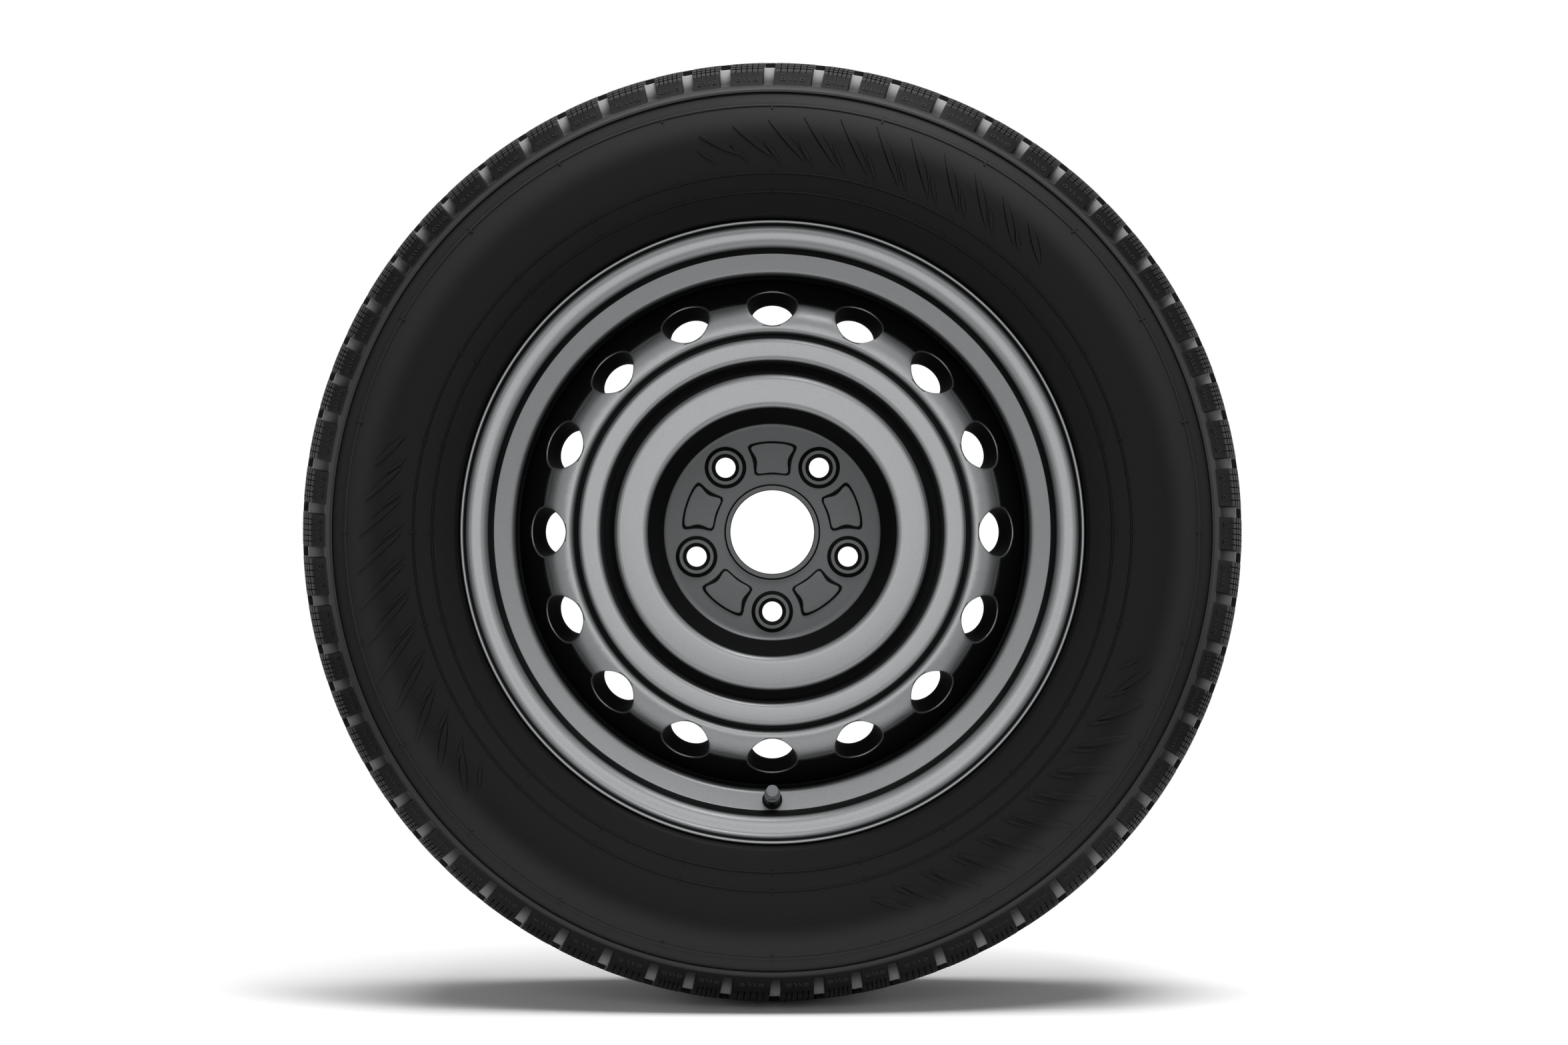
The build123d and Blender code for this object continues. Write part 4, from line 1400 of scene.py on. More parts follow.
@dataclass
class Tyre:
    """Moulded tyre: carcass, middle of the tread, and on each side the shoulder, relief and block marks."""

    rubber: bpy.types.Material
    rim: RimSizes
    sizes: TyreSizes = field(default_factory=TyreSizes)
    shoulder_sizes: ShoulderSizes = field(default_factory=ShoulderSizes)
    centre_sizes: CentreSizes = field(default_factory=CentreSizes)
    relief_sizes: ReliefSizes = field(default_factory=ReliefSizes)
    mark_sizes: MarkSizes = field(default_factory=MarkSizes)
    columns: int = 288
    wall_rows: int = 46
    line_points: int = 7
    bead_step: float = 0.35
    liner_step: float = 0.3

    def mould(self, surface: Surface, sharp: float) -> None:
        """Makes one piece of the tyre, with edges over an angle sharp, and dresses it in rubber."""
        place(surface.build(sharp=sharp), "wheel", Slot.TYRE, self.rubber, "tyre")

    def sidewall_path(self) -> Array:
        """Sidewall from under the rib down to the flange, as (radius, distance from the middle plane).

        Each raised line is a half circle that takes the place of the plain rows round its radius.
        """
        s = self.sizes
        lowest = self.rim.flange_radius + s.flange_edge_clearance
        plain = np.linspace(s.rib_radius, lowest, self.wall_rows)
        lean = np.linspace(0.0, math.pi, self.line_points)
        bumps = np.concatenate([middle + s.line_height * np.cos(lean) for middle in s.line_radii])
        lifts = np.tile(s.line_height * np.sin(lean), len(s.line_radii))
        apart = np.abs(plain[:, None] - np.array(s.line_radii))
        clear = np.all(apart > s.line_height + s.line_margin, axis=1)
        radius = np.concatenate([plain[clear], bumps])
        lift = np.concatenate([np.zeros(int(clear.sum())), lifts])
        order = np.argsort(-radius, kind="stable")
        radius = radius[order]
        return np.column_stack([radius, s.sidewall_y(radius) + lift[order]])

    def bead_path(self) -> Array:
        """Bead and liner from the flange to the middle plane, as (radius, distance from that plane).

        The bead follows the rim's flange and seat at a small gap, down to its toe. The liner runs back up
        inside the sidewall and under the tread.
        """
        s = self.sizes
        bead_y = self.rim.flange_y - s.bead_gap
        over = self.rim.flange_radius + s.bead_gap
        foot = self.rim.seat_radius + s.bead_gap
        lowest = self.rim.flange_radius + s.flange_edge_clearance
        toe = (foot - s.toe_length * math.tan(math.radians(self.rim.seat_taper)), bead_y - s.toe_length)
        bead_corners = [
            (lowest, float(s.sidewall_y(np.array(lowest)))),
            (over, bead_y + self.rim.flange_bend),
            (over, bead_y),
            (foot, bead_y),
            toe,
        ]
        bead_bends = [0.0, self.rim.flange_bend - s.bead_gap, self.rim.heel_bend + s.bead_gap]
        liner_crown = s.floor_radius - s.undertread
        liner_side = s.half_section - s.sidewall
        bend = s.liner_bend
        liner_corners = [
            toe,
            (foot + s.toe_rise, toe[1]),
            (self.rim.flange_radius + s.toe_rise, bead_y - s.chafer_wall + s.bead_gap),
            (s.widest_radius, liner_side),
            (liner_crown - bend / 2, liner_side - s.sidewall),
            (liner_crown, s.crown_half),
            (liner_crown, 0.0),
        ]
        bead = rounded(bead_corners, bead_bends, self.bead_step)
        liner_bends = [bend / 4, bend / 2, bend, bend / 2, bend]
        liner = rounded(liner_corners, liner_bends, self.liner_step)
        return np.concatenate([bead[1:], liner[1:]])

    def carcass(self) -> None:
        """Both sidewalls, the beads and the liner as one closed ring, which runs on under the tread.

        Half of the section is mirrored in the middle plane and carried round the axis.
        """
        s = self.sizes
        foot_radius, foot_y = s.block_foot
        # Out of sight under the tread bands.
        under = np.array([
            (s.floor_radius - 2.0, 0.0),
            (s.floor_radius - 2.0, s.outer_groove_y),
            (s.floor_radius - 4.5, 70.0),
            (foot_radius - 1.5, foot_y - 9.0),
            (foot_radius - 4.0, foot_y - 2.0),
        ])
        half = np.concatenate([under, self.sidewall_path(), self.bead_path()])
        front = half * np.array([1.0, -1.0])
        loop = np.concatenate([front, half[::-1][1:-1], front[:1]])
        # Painted sheen on the sidewall's outer face, above its widest point.
        painted_sheen = s.painted_sheen(loop[:, 0]) * (np.abs(loop[:, 1]) > s.painted_sheen_y)
        surface = Surface("tyre_carcass")
        surface.add(revolve(loop, even_clocks(self.columns)), wrap=True,
                    film=over_columns(painted_sheen, self.columns))
        self.mould(surface, sharp=50.0)

    def shoulder(self, side: Side) -> None:
        """Shoulder blocks of one side: lateral grooves, wavy sipes and fine lines round the shoulder.

        One section runs from the outer groove over the blocks and down to the rib. At each column it is
        lowered by the deepest of three cuts: the lateral groove down to its floor, a sipe, or a line. The
        columns are slanted with the distance from the groove, and a sipe's also follow a sine wave.

        Args:
            side: side of the tyre.
        """
        s = self.sizes
        d = self.shoulder_sizes
        edge_radius, edge_y = s.shoulder_edge
        foot_radius, foot_y = s.block_foot
        wall_y = s.outer_groove_y + s.outer_groove_width / 2
        halves = np.array(d.line_halves)[:, None] * np.array([-1.0, -0.75, 0.75, 1.0])
        line_y = (np.array(d.lines)[:, None] + halves).ravel()
        cuts = np.tile([0.0, d.line_depth, d.line_depth, 0.0], len(d.lines))
        ends = [wall_y + s.block_bevel, edge_y - d.corner]
        top_y = np.sort(np.concatenate([line_y, d.rows_between, ends]))
        top = np.column_stack([s.crown(top_y), top_y])
        slope = np.array([foot_radius - edge_radius, foot_y - edge_y])
        face = np.array([edge_radius, edge_y]) + np.array(d.face_shares)[:, None] * slope
        rib_y = float(s.sidewall_y(np.array(s.rib_radius)))
        rib_top = rib_y + s.rib_height
        rib_edge = s.rib_radius + s.rib_width
        rib = np.array([
            (foot_radius + d.rib_start[0], foot_y + d.rib_start[1]),
            (rib_edge, rib_top - d.rib_bevel[1]),
            (rib_edge - d.rib_bevel[0], rib_top),
            (s.rib_radius, rib_top),
            (s.rib_radius, rib_y),
        ])
        groove = np.array([
            (s.floor_radius, s.outer_groove_y),
            (s.floor_radius, wall_y - s.floor_bevel),
            (s.floor_radius + s.wall_bevel, wall_y),
            (float(s.crown(np.array(wall_y))) - s.wall_bevel, wall_y),
        ])
        # Out of sight in the carcass.
        under = np.array([(foot_radius - 3.0, foot_y - 6.5), (s.floor_radius - 1.0, s.outer_groove_y)])
        path = np.concatenate([groove, top, face, rib, under, groove[:1]])
        top_rows = slice(len(groove), len(groove) + len(top))
        block_rows = top_rows.stop + len(face)
        line_cut = np.zeros((len(path), 1))
        line_cut[top_rows, 0] = np.interp(top_y, line_y, cuts, left=0.0, right=0.0)

        pitches = Pitches.lay(s, s.shoulder_slot_width / 2, d.sipes, d.sipe_width)
        radius, distance = path[:, :1], path[:, 1:]
        inner = s.outer_groove_y - s.outer_groove_width / 4
        start = s.floor_radius + s.tie_height
        floor = np.interp(distance, [inner, s.shoulder_slot_knee, edge_y],
                          [start, start - s.shoulder_slot_fall, foot_radius + s.tie_height])
        outside = (np.arange(len(path)) < block_rows)[:, None]
        room = np.where(outside, np.maximum(radius - floor, 0.0), 0.0)
        fade = (smooth_step((distance - wall_y) / d.sipe_fade_in)
                * smooth_step((edge_y + d.sipe_overrun - distance) / d.sipe_fade_out))
        sunk = np.maximum(np.maximum(pitches.slot * room, pitches.sipe * d.sipe_depth * fade), line_cut)
        sunk = np.minimum(sunk, np.maximum(room, d.sipe_depth))
        wave = d.sipe_wave * np.sin((distance - wall_y) * (FULL_TURN / d.wave_length))
        wave = wave * (pitches.sipe_index >= 0) * fade
        shift = -(distance - inner) * math.tan(math.radians(s.shoulder_slot_skew)) + wave
        clocks = pitches.clocks + shift / s.radius
        grid = np.stack([radius - sunk, distance * side.value * np.ones_like(sunk)], axis=-1)
        # Painted sheen on the lateral grooves' floors, fading in from the top and cut back towards the
        # foot; a lighter band on the rib.
        film = (smooth_step((pitches.slot - d.painted_sheen_slot) / d.painted_sheen_slot_fade)
                * smooth_step(room / d.painted_sheen_depth)
                * smooth_step((distance - d.painted_sheen_start) / d.painted_sheen_fade))
        film = film * (1.0 - d.sheen_fall_share * smooth_step((distance - d.sheen_fall_start) / d.sheen_fall_fade))
        film[block_rows + 1:block_rows + 4] = d.rib_painted_sheen
        surface = Surface(f"tread_{side.name.lower()}_shoulder")
        surface.add(revolve(grid, clocks), wrap=True, film=film)
        self.mould(surface, sharp=38.0)

    def centre(self) -> None:
        """Middle of the tread: notched centre rib and slanted blocks with zigzag sipes on both sides.

        Half of the section is mirrored in the middle plane. At each column it is lowered by the slanted
        groove or by a sipe, whichever is deeper, and a sipe's columns follow a triangle wave.
        """
        s = self.sizes
        d = self.centre_sizes
        wall_y = s.outer_groove_y - s.outer_groove_width / 2
        high = s.centre_groove_y + s.centre_groove_width / 2
        low = s.centre_groove_y - s.centre_groove_width / 2
        end = low - s.middle_slot_notch
        floor_radius = s.floor_radius

        def top(*ys: float) -> list[tuple[float, float]]:
            """Points of the tread's surface."""
            return [(float(s.crown(np.array(y))), y) for y in ys]

        def wall(y: float, into: float) -> list[tuple[float, float]]:
            """Groove wall from its bevelled foot to just under the surface. Into points to the groove."""
            return [(floor_radius, y + into * s.floor_bevel), (floor_radius + s.wall_bevel, y),
                    (top(y)[0][0] - s.wall_bevel, y)]

        half = np.array([
            (floor_radius, s.outer_groove_y),
            *wall(wall_y, 1.0),
            *top(wall_y - s.block_bevel, *d.block_rows, high + s.block_bevel),
            *wall(high, -1.0)[::-1],
            *wall(low, 1.0),
            *top(low - s.block_bevel, end + d.notch_bevel, end - d.notch_bevel, *d.rib_rows),
        ])
        under = [(floor_radius - 1.0, -s.outer_groove_y), (floor_radius - 1.0, s.outer_groove_y)]
        path = np.concatenate([half, half[::-1] * np.array([1.0, -1.0]), under, half[:1]])
        pitches = Pitches.lay(s, s.middle_slot_width / 2, d.sipes, d.sipe_width)
        radius, y = path[:, :1], path[:, 1:]
        distance = np.abs(y)
        shown = (np.arange(len(path)) < 2 * len(half))[:, None]
        solid = np.where(shown, np.maximum(radius - floor_radius - s.tie_height, 0.0), 0.0)
        room = np.where(distance > end, solid, 0.0)
        block = smooth_step((distance - high) / d.sipe_fade)
        block = block * smooth_step((wall_y - distance) / d.sipe_fade)
        sunk = np.maximum(pitches.slot * room, np.minimum(pitches.sipe * d.sipe_depth * block, solid))
        zigzag = 2.0 * np.abs(np.mod(distance / d.zigzag_length, 1.0) * 2.0 - 1.0) - 1.0
        shift = (s.outer_groove_y - np.maximum(distance, end)) * math.tan(math.radians(s.middle_slot_skew))
        shift = shift + d.zigzag * zigzag * block * (pitches.sipe_index >= 0)
        clocks = pitches.clocks + shift / s.radius
        grid = np.stack([radius - sunk, y * np.ones_like(sunk)], axis=-1)
        surface = Surface("tread_centre")
        surface.add(revolve(grid, clocks), wrap=True)
        self.mould(surface, sharp=38.0)

    def relief(self, side: Side) -> None:
        """Raised relief of one sidewall: hatched band, ticks on the lines and groups of leaf-shaped ribs.

        Hatching and ticks are even round the wheel. In a group the ribs' lengths follow half a sine wave.

        Args:
            side: side of the tyre.
        """
        s = self.sizes
        d = self.relief_sizes
        surface = Surface(f"sidewall_{side.name.lower()}_relief")
        ridges = Ridges(surface, s, side)
        turn = even_clocks(d.hatch_count)
        lean = side.value * d.hatch_lean / s.rib_radius
        low, high = d.hatch_radii
        ridges.add((low, turn), (high, turn + lean), d.hatch_width, d.hatch_height)
        ticks = even_clocks(d.tick_count)
        for radius in s.line_radii:
            ends = (radius - d.tick_half, ticks), (radius + d.tick_half, ticks)
            ridges.add(*ends, d.tick_width, d.tick_height)
        leaves = np.arange(d.leaf_count)
        swell = np.sin(math.pi * (leaves + 0.5) / d.leaf_count)
        places = side.value * (leaves - (d.leaf_count - 1) / 2) * math.radians(d.leaf_pitch)
        for middle in np.radians(d.group_clocks):
            for row in d.leaf_rows:
                clocks = middle + places + side.value * math.radians(row.shift)
                foot = (row.foot + row.foot_swell * swell, clocks)
                head = (row.head + row.head_swell * swell, clocks + side.value * math.radians(row.lean))
                ridges.add(foot, head, row.width, row.height, samples=row.samples, lens=True)
        self.mould(surface, sharp=30.0)

    def block_marks(self, side: Side) -> None:
        """Small moulded rings and bars on the blocks' side faces.

        A mark's point has three offsets from the middle of the block's face: round the wheel, down the
        face and out of it. A ring carries its section round a circle, and a bar is a leaning box that
        narrows upwards.

        Args:
            side: side of the tyre.
        """
        s = self.sizes
        d = self.mark_sizes
        starts, pitches = s.groove_clocks()
        edge = np.array(s.shoulder_edge)
        foot = np.array(s.block_foot)
        down = (foot - edge) / np.linalg.norm(foot - edge)
        out = np.array([down[1], -down[0]])
        middle = (edge + foot) / 2
        skew = -(middle[1] - s.outer_groove_y) * math.tan(math.radians(s.shoulder_slot_skew)) / s.radius

        def on_face(clock: Array, u: Array, v: Array, n: Array) -> Array:
            """Points at offsets u round the wheel, v down the face and n out of it, from clock angles."""
            radius = middle[0] + (v + d.drop) * down[0] + n * out[0]
            y = side.value * (middle[1] + (v + d.drop) * down[1] + n * out[1])
            return polar(radius, y, clock + u / radius)

        surface = Surface(f"block_{side.name.lower()}_marks")
        # Rings and bars below take a small share of painted sheen.
        around = even_clocks(d.ring_points)
        section = np.array(d.ring_section)
        u, v = section[:, :1] * np.cos(around), section[:, :1] * np.sin(around)
        lift = section[:, 1:] * np.ones_like(around)
        for share in d.ring_shares:
            for clock in starts + share * pitches + skew:
                surface.add(on_face(clock, u, v, lift), wrap=True, film=np.full(u.shape, d.painted_sheen))
        halves = np.array([d.bar_half_width, d.bar_half_length])
        corners = np.array([(-1, -1), (1, -1), (1, 1), (-1, 1)]) * halves
        foot_corners = corners @ np.array([[1.0, 0.0], [d.bar_lean, 1.0]])
        u, v = np.concatenate([foot_corners, foot_corners * d.bar_top_share]).T
        lift = np.repeat([-d.bar_lift, d.bar_lift], len(corners))
        box = np.array([(0, 3, 2, 1), (4, 5, 6, 7), (0, 1, 5, 4), (1, 2, 6, 5), (2, 3, 7, 6), (3, 0, 4, 7)])
        quads = (box[None] + (np.arange(len(starts)) * len(lift))[:, None, None]).reshape(-1, 4)
        for share in d.bar_shares:
            points = on_face((starts + share * pitches + skew)[:, None], u, v, lift)
            centres = np.repeat(points.mean(axis=1), len(box), axis=0)
            surface.add_faces(points.reshape(-1, 3), quads,
                              lambda middles, centres=centres: middles - centres,
                              np.full(points.shape[:2], d.painted_sheen))
        self.mould(surface, sharp=30.0)

    def build(self) -> None:
        """Builds every piece of the tyre."""
        self.carcass()
        for side in Side:
            self.shoulder(side)
            self.relief(side)
            self.block_marks(side)
        self.centre()


@dataclass
class WeldBeads:
    """Arc welds in the corner between the disc's skirt and the rim's well."""

    paint: bpy.types.Material
    rim: RimSizes
    disc: DiscSizes
    count: int = 8
    arc: float = 24.0
    leg: float = 3.4
    fill: float = 0.98
    ripples: int = 16
    ripple_depth: float = 0.07
    run_out: float = 0.04
    section_points: int = 7
    stations: int = 97

    def build(self) -> None:
        """Builds the beads: a quarter round in the corner, carried along an arc round the axis.

        Its size ripples with the size of a sine along the bead, and falls to nothing along a quarter
        ellipse at each end.
        """
        corner = np.array([self.rim.well_inner_radius, -self.disc.skirt_end])
        turn = np.linspace(0.0, math.pi / 2, self.section_points)
        bow = np.column_stack([-np.cos(turn), np.sin(turn)])
        section = np.concatenate([[(0.0, 0.0)], bow, [(0.0, 0.0)]])
        share = np.linspace(0.0, 1.0, self.stations)
        past = np.maximum(0.0, (np.abs(share - 0.5) - 0.5 + self.run_out) / self.run_out)
        ends = np.sqrt(np.clip(1.0 - past ** 2, 0.0, 1.0))
        ripple = 1.0 - self.ripple_depth * (1.0 - np.abs(np.sin(share * math.pi * self.ripples)))
        path = corner + section[:, None, :] * (self.leg * ends * ripple * self.fill)[None, :, None]
        surface = Surface("weld_seams")
        for start in even_clocks(self.count):
            surface.add(revolve(path, start + share * math.radians(self.arc)))
        place(surface.build(sharp=60.0), "wheel", Slot.PAINT, self.paint, "weld_beads")


@dataclass
class CoreSpring:
    """Coil spring of the valve core, at one fixed length, though the real one shortens as the pin is
    pressed in.
    """

    steel: bpy.types.Material
    outward: tuple[float, float, float] = (0.0, -0.951057, 0.309017)
    coil_radius: float = 0.975
    wire_radius: float = 0.14
    turns: int = 9
    travel: float = 1.4
    stations: int = 181
    columns: int = 10

    def build(self) -> None:
        """Carries a round section along a helix between the ends of the spring's solid.

        The helix turns evenly as it rises along the valve's axis. The section stands across its tangent,
        and both ends are closed at their middles.
        """
        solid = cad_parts["valve_core_spring"].data
        axis = np.array(self.outward)
        heights = read(solid.vertices, "co", 3) / MM @ axis
        low, high = float(heights.min()), float(heights.max())
        ring = np.mean([list(corner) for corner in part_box("valve_core_gasket")], axis=0) / MM
        foot = ring + (low - ring @ axis) * axis
        right = np.array([1.0, 0.0, 0.0])
        up = np.cross(axis, right)
        share = np.linspace(0.0, 1.0, self.stations)[:, None]
        sweep = self.turns * FULL_TURN
        turn = share * sweep
        radial = np.cos(turn) * right + np.sin(turn) * up
        rise = high - low - 2 * self.wire_radius
        tangent = self.coil_radius * sweep * (np.cos(turn) * up - np.sin(turn) * right) + rise * axis
        tangent = tangent / np.linalg.norm(tangent, axis=1, keepdims=True)
        side = np.cross(tangent, radial)
        line = foot + (self.wire_radius + share * rise) * axis + self.coil_radius * radial
        around = even_clocks(self.columns)[None, :, None]
        section = np.cos(around) * radial[:, None] + np.sin(around) * side[:, None]
        tube = line[:, None] + self.wire_radius * section
        ends = np.repeat(line[[0, -1], None], self.columns, axis=1)
        middles_of_rows = np.concatenate([line[:1], (line[:-1] + line[1:]) / 2, line[-1:]])
        centres = np.repeat(middles_of_rows, self.columns, axis=0)
        surface = Surface("core_spring_coil")
        rows = np.concatenate([ends[:1], tube, ends[1:]])
        surface.add(rows, lambda middles: middles - centres, wrap=True)
        coil = surface.build(merge=0.0005, sharp=50.0)
        place(coil, "wheel", Slot.SPRING, self.steel, "valve_core_spring")
        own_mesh(coil)


@dataclass(frozen=True)
class Finish:
    """One finish: its colour, how it reflects, how its fine surface varies and the painted light over it,
    shade on the paint and sheen on the rubber.
    """

    slot: Slot
    colour: tuple[float, float, float]
    roughness: float
    metallic: float = 0.0
    specular: float = 0.5
    grain_scale: float = 900.0
    grain_share: float = 0.1
    patch_scale: float = 9.0
    patch_share: float = 0.08
    roughness_share: float = 0.06
    bump: float = 0.15
    bump_distance: float = 0.00012
    # Painted light blended in by the point attribute: painted shade on the paint, painted sheen on the
    # rubber.
    painted_light_colour: tuple[float, float, float] | None = None
    painted_light_roughness: float = 0.5


# The rubber's painted light is a painted sheen: lighter grey on groove floors, the rib and the upper
# sidewall.
TYRE_RUBBER = Finish(Slot.TYRE, (0.0045, 0.0045, 0.0048), 0.42, specular=0.085, grain_scale=1400.0,
                     grain_share=0.4, patch_scale=14.0, patch_share=0.25, bump=0.5, bump_distance=0.00015,
                     painted_light_colour=(0.2, 0.2, 0.203), painted_light_roughness=0.5)
# The paint's painted light is a painted shade: near black on walls and in hollows.
WHEEL_PAINT = Finish(Slot.PAINT, (0.21, 0.216, 0.22), 0.32, metallic=0.85, grain_scale=1500.0,
                     grain_share=0.2, patch_scale=6.0, patch_share=0.06, bump=0.12, specular=0.04,
                     painted_light_colour=(0.004, 0.0042, 0.0045), painted_light_roughness=0.75)
VALVE_RUBBER = Finish(Slot.VALVE_RUBBER, (0.009, 0.0092, 0.0095), 0.5, specular=0.3, grain_scale=2500.0,
                      grain_share=0.12)
BRASS = Finish(Slot.BRASS, (0.62, 0.44, 0.17), 0.28, metallic=1.0, grain_scale=5000.0, grain_share=0.16)
SEAL_RUBBER = Finish(Slot.SEAL, (0.03, 0.03, 0.031), 0.42, grain_scale=4000.0)
SPRING_STEEL = Finish(Slot.SPRING, (0.55, 0.55, 0.57), 0.25, metallic=1.0, grain_scale=6000.0)
CAP_PLASTIC = Finish(Slot.CAP, (0.11, 0.115, 0.125), 0.38, grain_scale=3000.0, grain_share=0.12)


class MixInput(Enum):
    """Places of a Mix node's inputs, whose names repeat."""

    FACTOR = 0
    VALUE_A = 2
    VALUE_B = 3
    COLOUR_A = 6
    COLOUR_B = 7


class MixOutput(Enum):
    """Places of a Mix node's outputs, whose names repeat."""

    VALUE = 0
    COLOUR = 2


def math_node(tree: bpy.types.NodeTree, operation: str,
              *values: bpy.types.NodeSocket | float) -> bpy.types.NodeSocket:
    """Adds a Math node.

    Args:
        tree: where it goes.
        operation: Blender's name of the operation.
        values: a socket to link or a number to set, for each input.

    Returns:
        Its output.
    """
    node = tree.nodes.new("ShaderNodeMath")
    node.operation = operation
    for socket, value in zip(node.inputs, values):
        if isinstance(value, bpy.types.NodeSocket):
            tree.links.new(value, socket)
        else:
            socket.default_value = value
    return node.outputs[0]


def matt_material(name: str, grey: float, roughness: float) -> bpy.types.Material:
    """Plain matt grey for the studio, with no highlight.

    Args:
        name: name of the material.
        grey: its colour in all three channels.
        roughness: its roughness.

    Returns:
        The material.
    """
    material = bpy.data.materials.new(name)
    material.use_nodes = True
    shader = material.node_tree.nodes["Principled BSDF"]
    shader.inputs["Base Color"].default_value = (grey, grey, grey, 1.0)
    shader.inputs["Roughness"].default_value = roughness
    shader.inputs["Specular IOR Level"].default_value = 0.0
    return material


class Materials:
    """Makes the procedural materials, which share one grain group."""

    def __init__(self) -> None:
        """Makes the shared group."""
        self.grain = self.make_grain()

    @staticmethod
    def make_grain() -> bpy.types.NodeTree:
        """Node group with a fine grain and soft patches in object coordinates.

        Each noise is moved to swing round zero and scaled by its share. The shade is one plus both.
        """
        tree = bpy.data.node_groups.new("surface_grain", "ShaderNodeTree")
        defaults = {"Fine Scale": 1000.0, "Fine Share": 0.1, "Patch Scale": 8.0, "Patch Share": 0.1}
        for name, value in defaults.items():
            socket = tree.interface.new_socket(name, in_out="INPUT", socket_type="NodeSocketFloat")
            socket.default_value = value
        for name in ("Shade", "Patch", "Height"):
            tree.interface.new_socket(name, in_out="OUTPUT", socket_type="NodeSocketFloat")
        nodes, links = tree.nodes, tree.links
        given = nodes.new("NodeGroupInput")
        result = nodes.new("NodeGroupOutput")
        where = nodes.new("ShaderNodeTexCoord")
        noises = []
        swings = []
        for name, detail in (("Fine", 3.0), ("Patch", 4.0)):
            noise = nodes.new("ShaderNodeTexNoise")
            noise.inputs["Detail"].default_value = detail
            links.new(where.outputs["Object"], noise.inputs["Vector"])
            links.new(given.outputs[f"{name} Scale"], noise.inputs["Scale"])
            centred = math_node(tree, "MULTIPLY_ADD", noise.outputs["Fac"], 2.0, -1.0)
            swings.append(math_node(tree, "MULTIPLY", centred, given.outputs[f"{name} Share"]))
            noises.append(noise)
        fine, patch = noises
        shade = math_node(tree, "ADD", math_node(tree, "ADD", *swings), 1.0)
        links.new(shade, result.inputs["Shade"])
        links.new(patch.outputs["Fac"], result.inputs["Patch"])
        links.new(fine.outputs["Fac"], result.inputs["Height"])
        return tree

    def make(self, finish: Finish) -> bpy.types.Material:
        """Makes one material from its finish.

        The grain scales the colour, the patches vary the roughness, and the fine grain is a bump. Where
        there is painted light, shade on the paint and sheen on the rubber, its share blends colour and
        roughness into its own and takes the metal away.

        Args:
            finish: the finish.

        Returns:
            The material, named for the finish's slot.
        """
        material = bpy.data.materials.new(finish.slot.value)
        material.use_nodes = True
        tree = material.node_tree
        nodes, links = tree.nodes, tree.links
        shader = nodes["Principled BSDF"]
        shader.inputs["Metallic"].default_value = finish.metallic
        shader.inputs["Specular IOR Level"].default_value = finish.specular
        grain = nodes.new("ShaderNodeGroup")
        grain.node_tree = self.grain
        grain.inputs["Fine Scale"].default_value = finish.grain_scale
        grain.inputs["Fine Share"].default_value = finish.grain_share
        grain.inputs["Patch Scale"].default_value = finish.patch_scale
        grain.inputs["Patch Share"].default_value = finish.patch_share
        tint = nodes.new("ShaderNodeVectorMath")
        tint.operation = "SCALE"
        tint.inputs[0].default_value = finish.colour
        links.new(grain.outputs["Shade"], tint.inputs["Scale"])
        rough = nodes.new("ShaderNodeMapRange")
        rough.inputs["To Min"].default_value = finish.roughness - finish.roughness_share
        rough.inputs["To Max"].default_value = finish.roughness + finish.roughness_share
        links.new(grain.outputs["Patch"], rough.inputs["Value"])
        colour, roughness = tint.outputs["Vector"], rough.outputs["Result"]
        # Painted light: the point attribute blends in the colour of painted shade on the paint and painted
        # sheen on the rubber.
        if finish.painted_light_colour is not None:
            attribute = nodes.new("ShaderNodeAttribute")
            attribute.attribute_name = PAINTED_LIGHT
            share = attribute.outputs["Fac"]
            blend = nodes.new("ShaderNodeMix")
            blend.data_type = "RGBA"
            blend.inputs[MixInput.COLOUR_B.value].default_value = (*finish.painted_light_colour, 1.0)
            links.new(share, blend.inputs[MixInput.FACTOR.value])
            links.new(colour, blend.inputs[MixInput.COLOUR_A.value])
            soften = nodes.new("ShaderNodeMix")
            soften.inputs[MixInput.VALUE_B.value].default_value = finish.painted_light_roughness
            links.new(share, soften.inputs[MixInput.FACTOR.value])
            links.new(roughness, soften.inputs[MixInput.VALUE_A.value])
            colour = blend.outputs[MixOutput.COLOUR.value]
            roughness = soften.outputs[MixOutput.VALUE.value]
            bare = math_node(tree, "MULTIPLY_ADD", share, -finish.metallic, finish.metallic)
            links.new(bare, shader.inputs["Metallic"])
        links.new(colour, shader.inputs["Base Color"])
        links.new(roughness, shader.inputs["Roughness"])
        bump = nodes.new("ShaderNodeBump")
        bump.inputs["Strength"].default_value = finish.bump
        bump.inputs["Distance"].default_value = finish.bump_distance
        links.new(grain.outputs["Height"], bump.inputs["Height"])
        links.new(bump.outputs["Normal"], shader.inputs["Normal"])
        return material


@dataclass(frozen=True)
class Softbox:
    """A rectangular soft light: where it stands, where it looks, its size and its radiance."""

    name: str
    location: tuple[float, float, float]
    target: tuple[float, float, float]
    width: float
    height: float
    radiance: float

    def build(self) -> None:
        """Makes the light. A flat light of radiance L and area A gives pi * L * A watts."""
        light = bpy.data.lights.new(self.name, "AREA")
        light.shape = "RECTANGLE"
        light.size = self.width
        light.size_y = self.height
        light.energy = math.pi * self.radiance * self.width * self.height
        lamp = bpy.data.objects.new(self.name, light)
        lamp.location = self.location
        way = Vector(self.target) - Vector(self.location)
        lamp.rotation_euler = way.to_track_quat("-Z", "Y").to_euler()
        lamp.visible_camera = False
        bpy.context.scene.collection.objects.link(lamp)


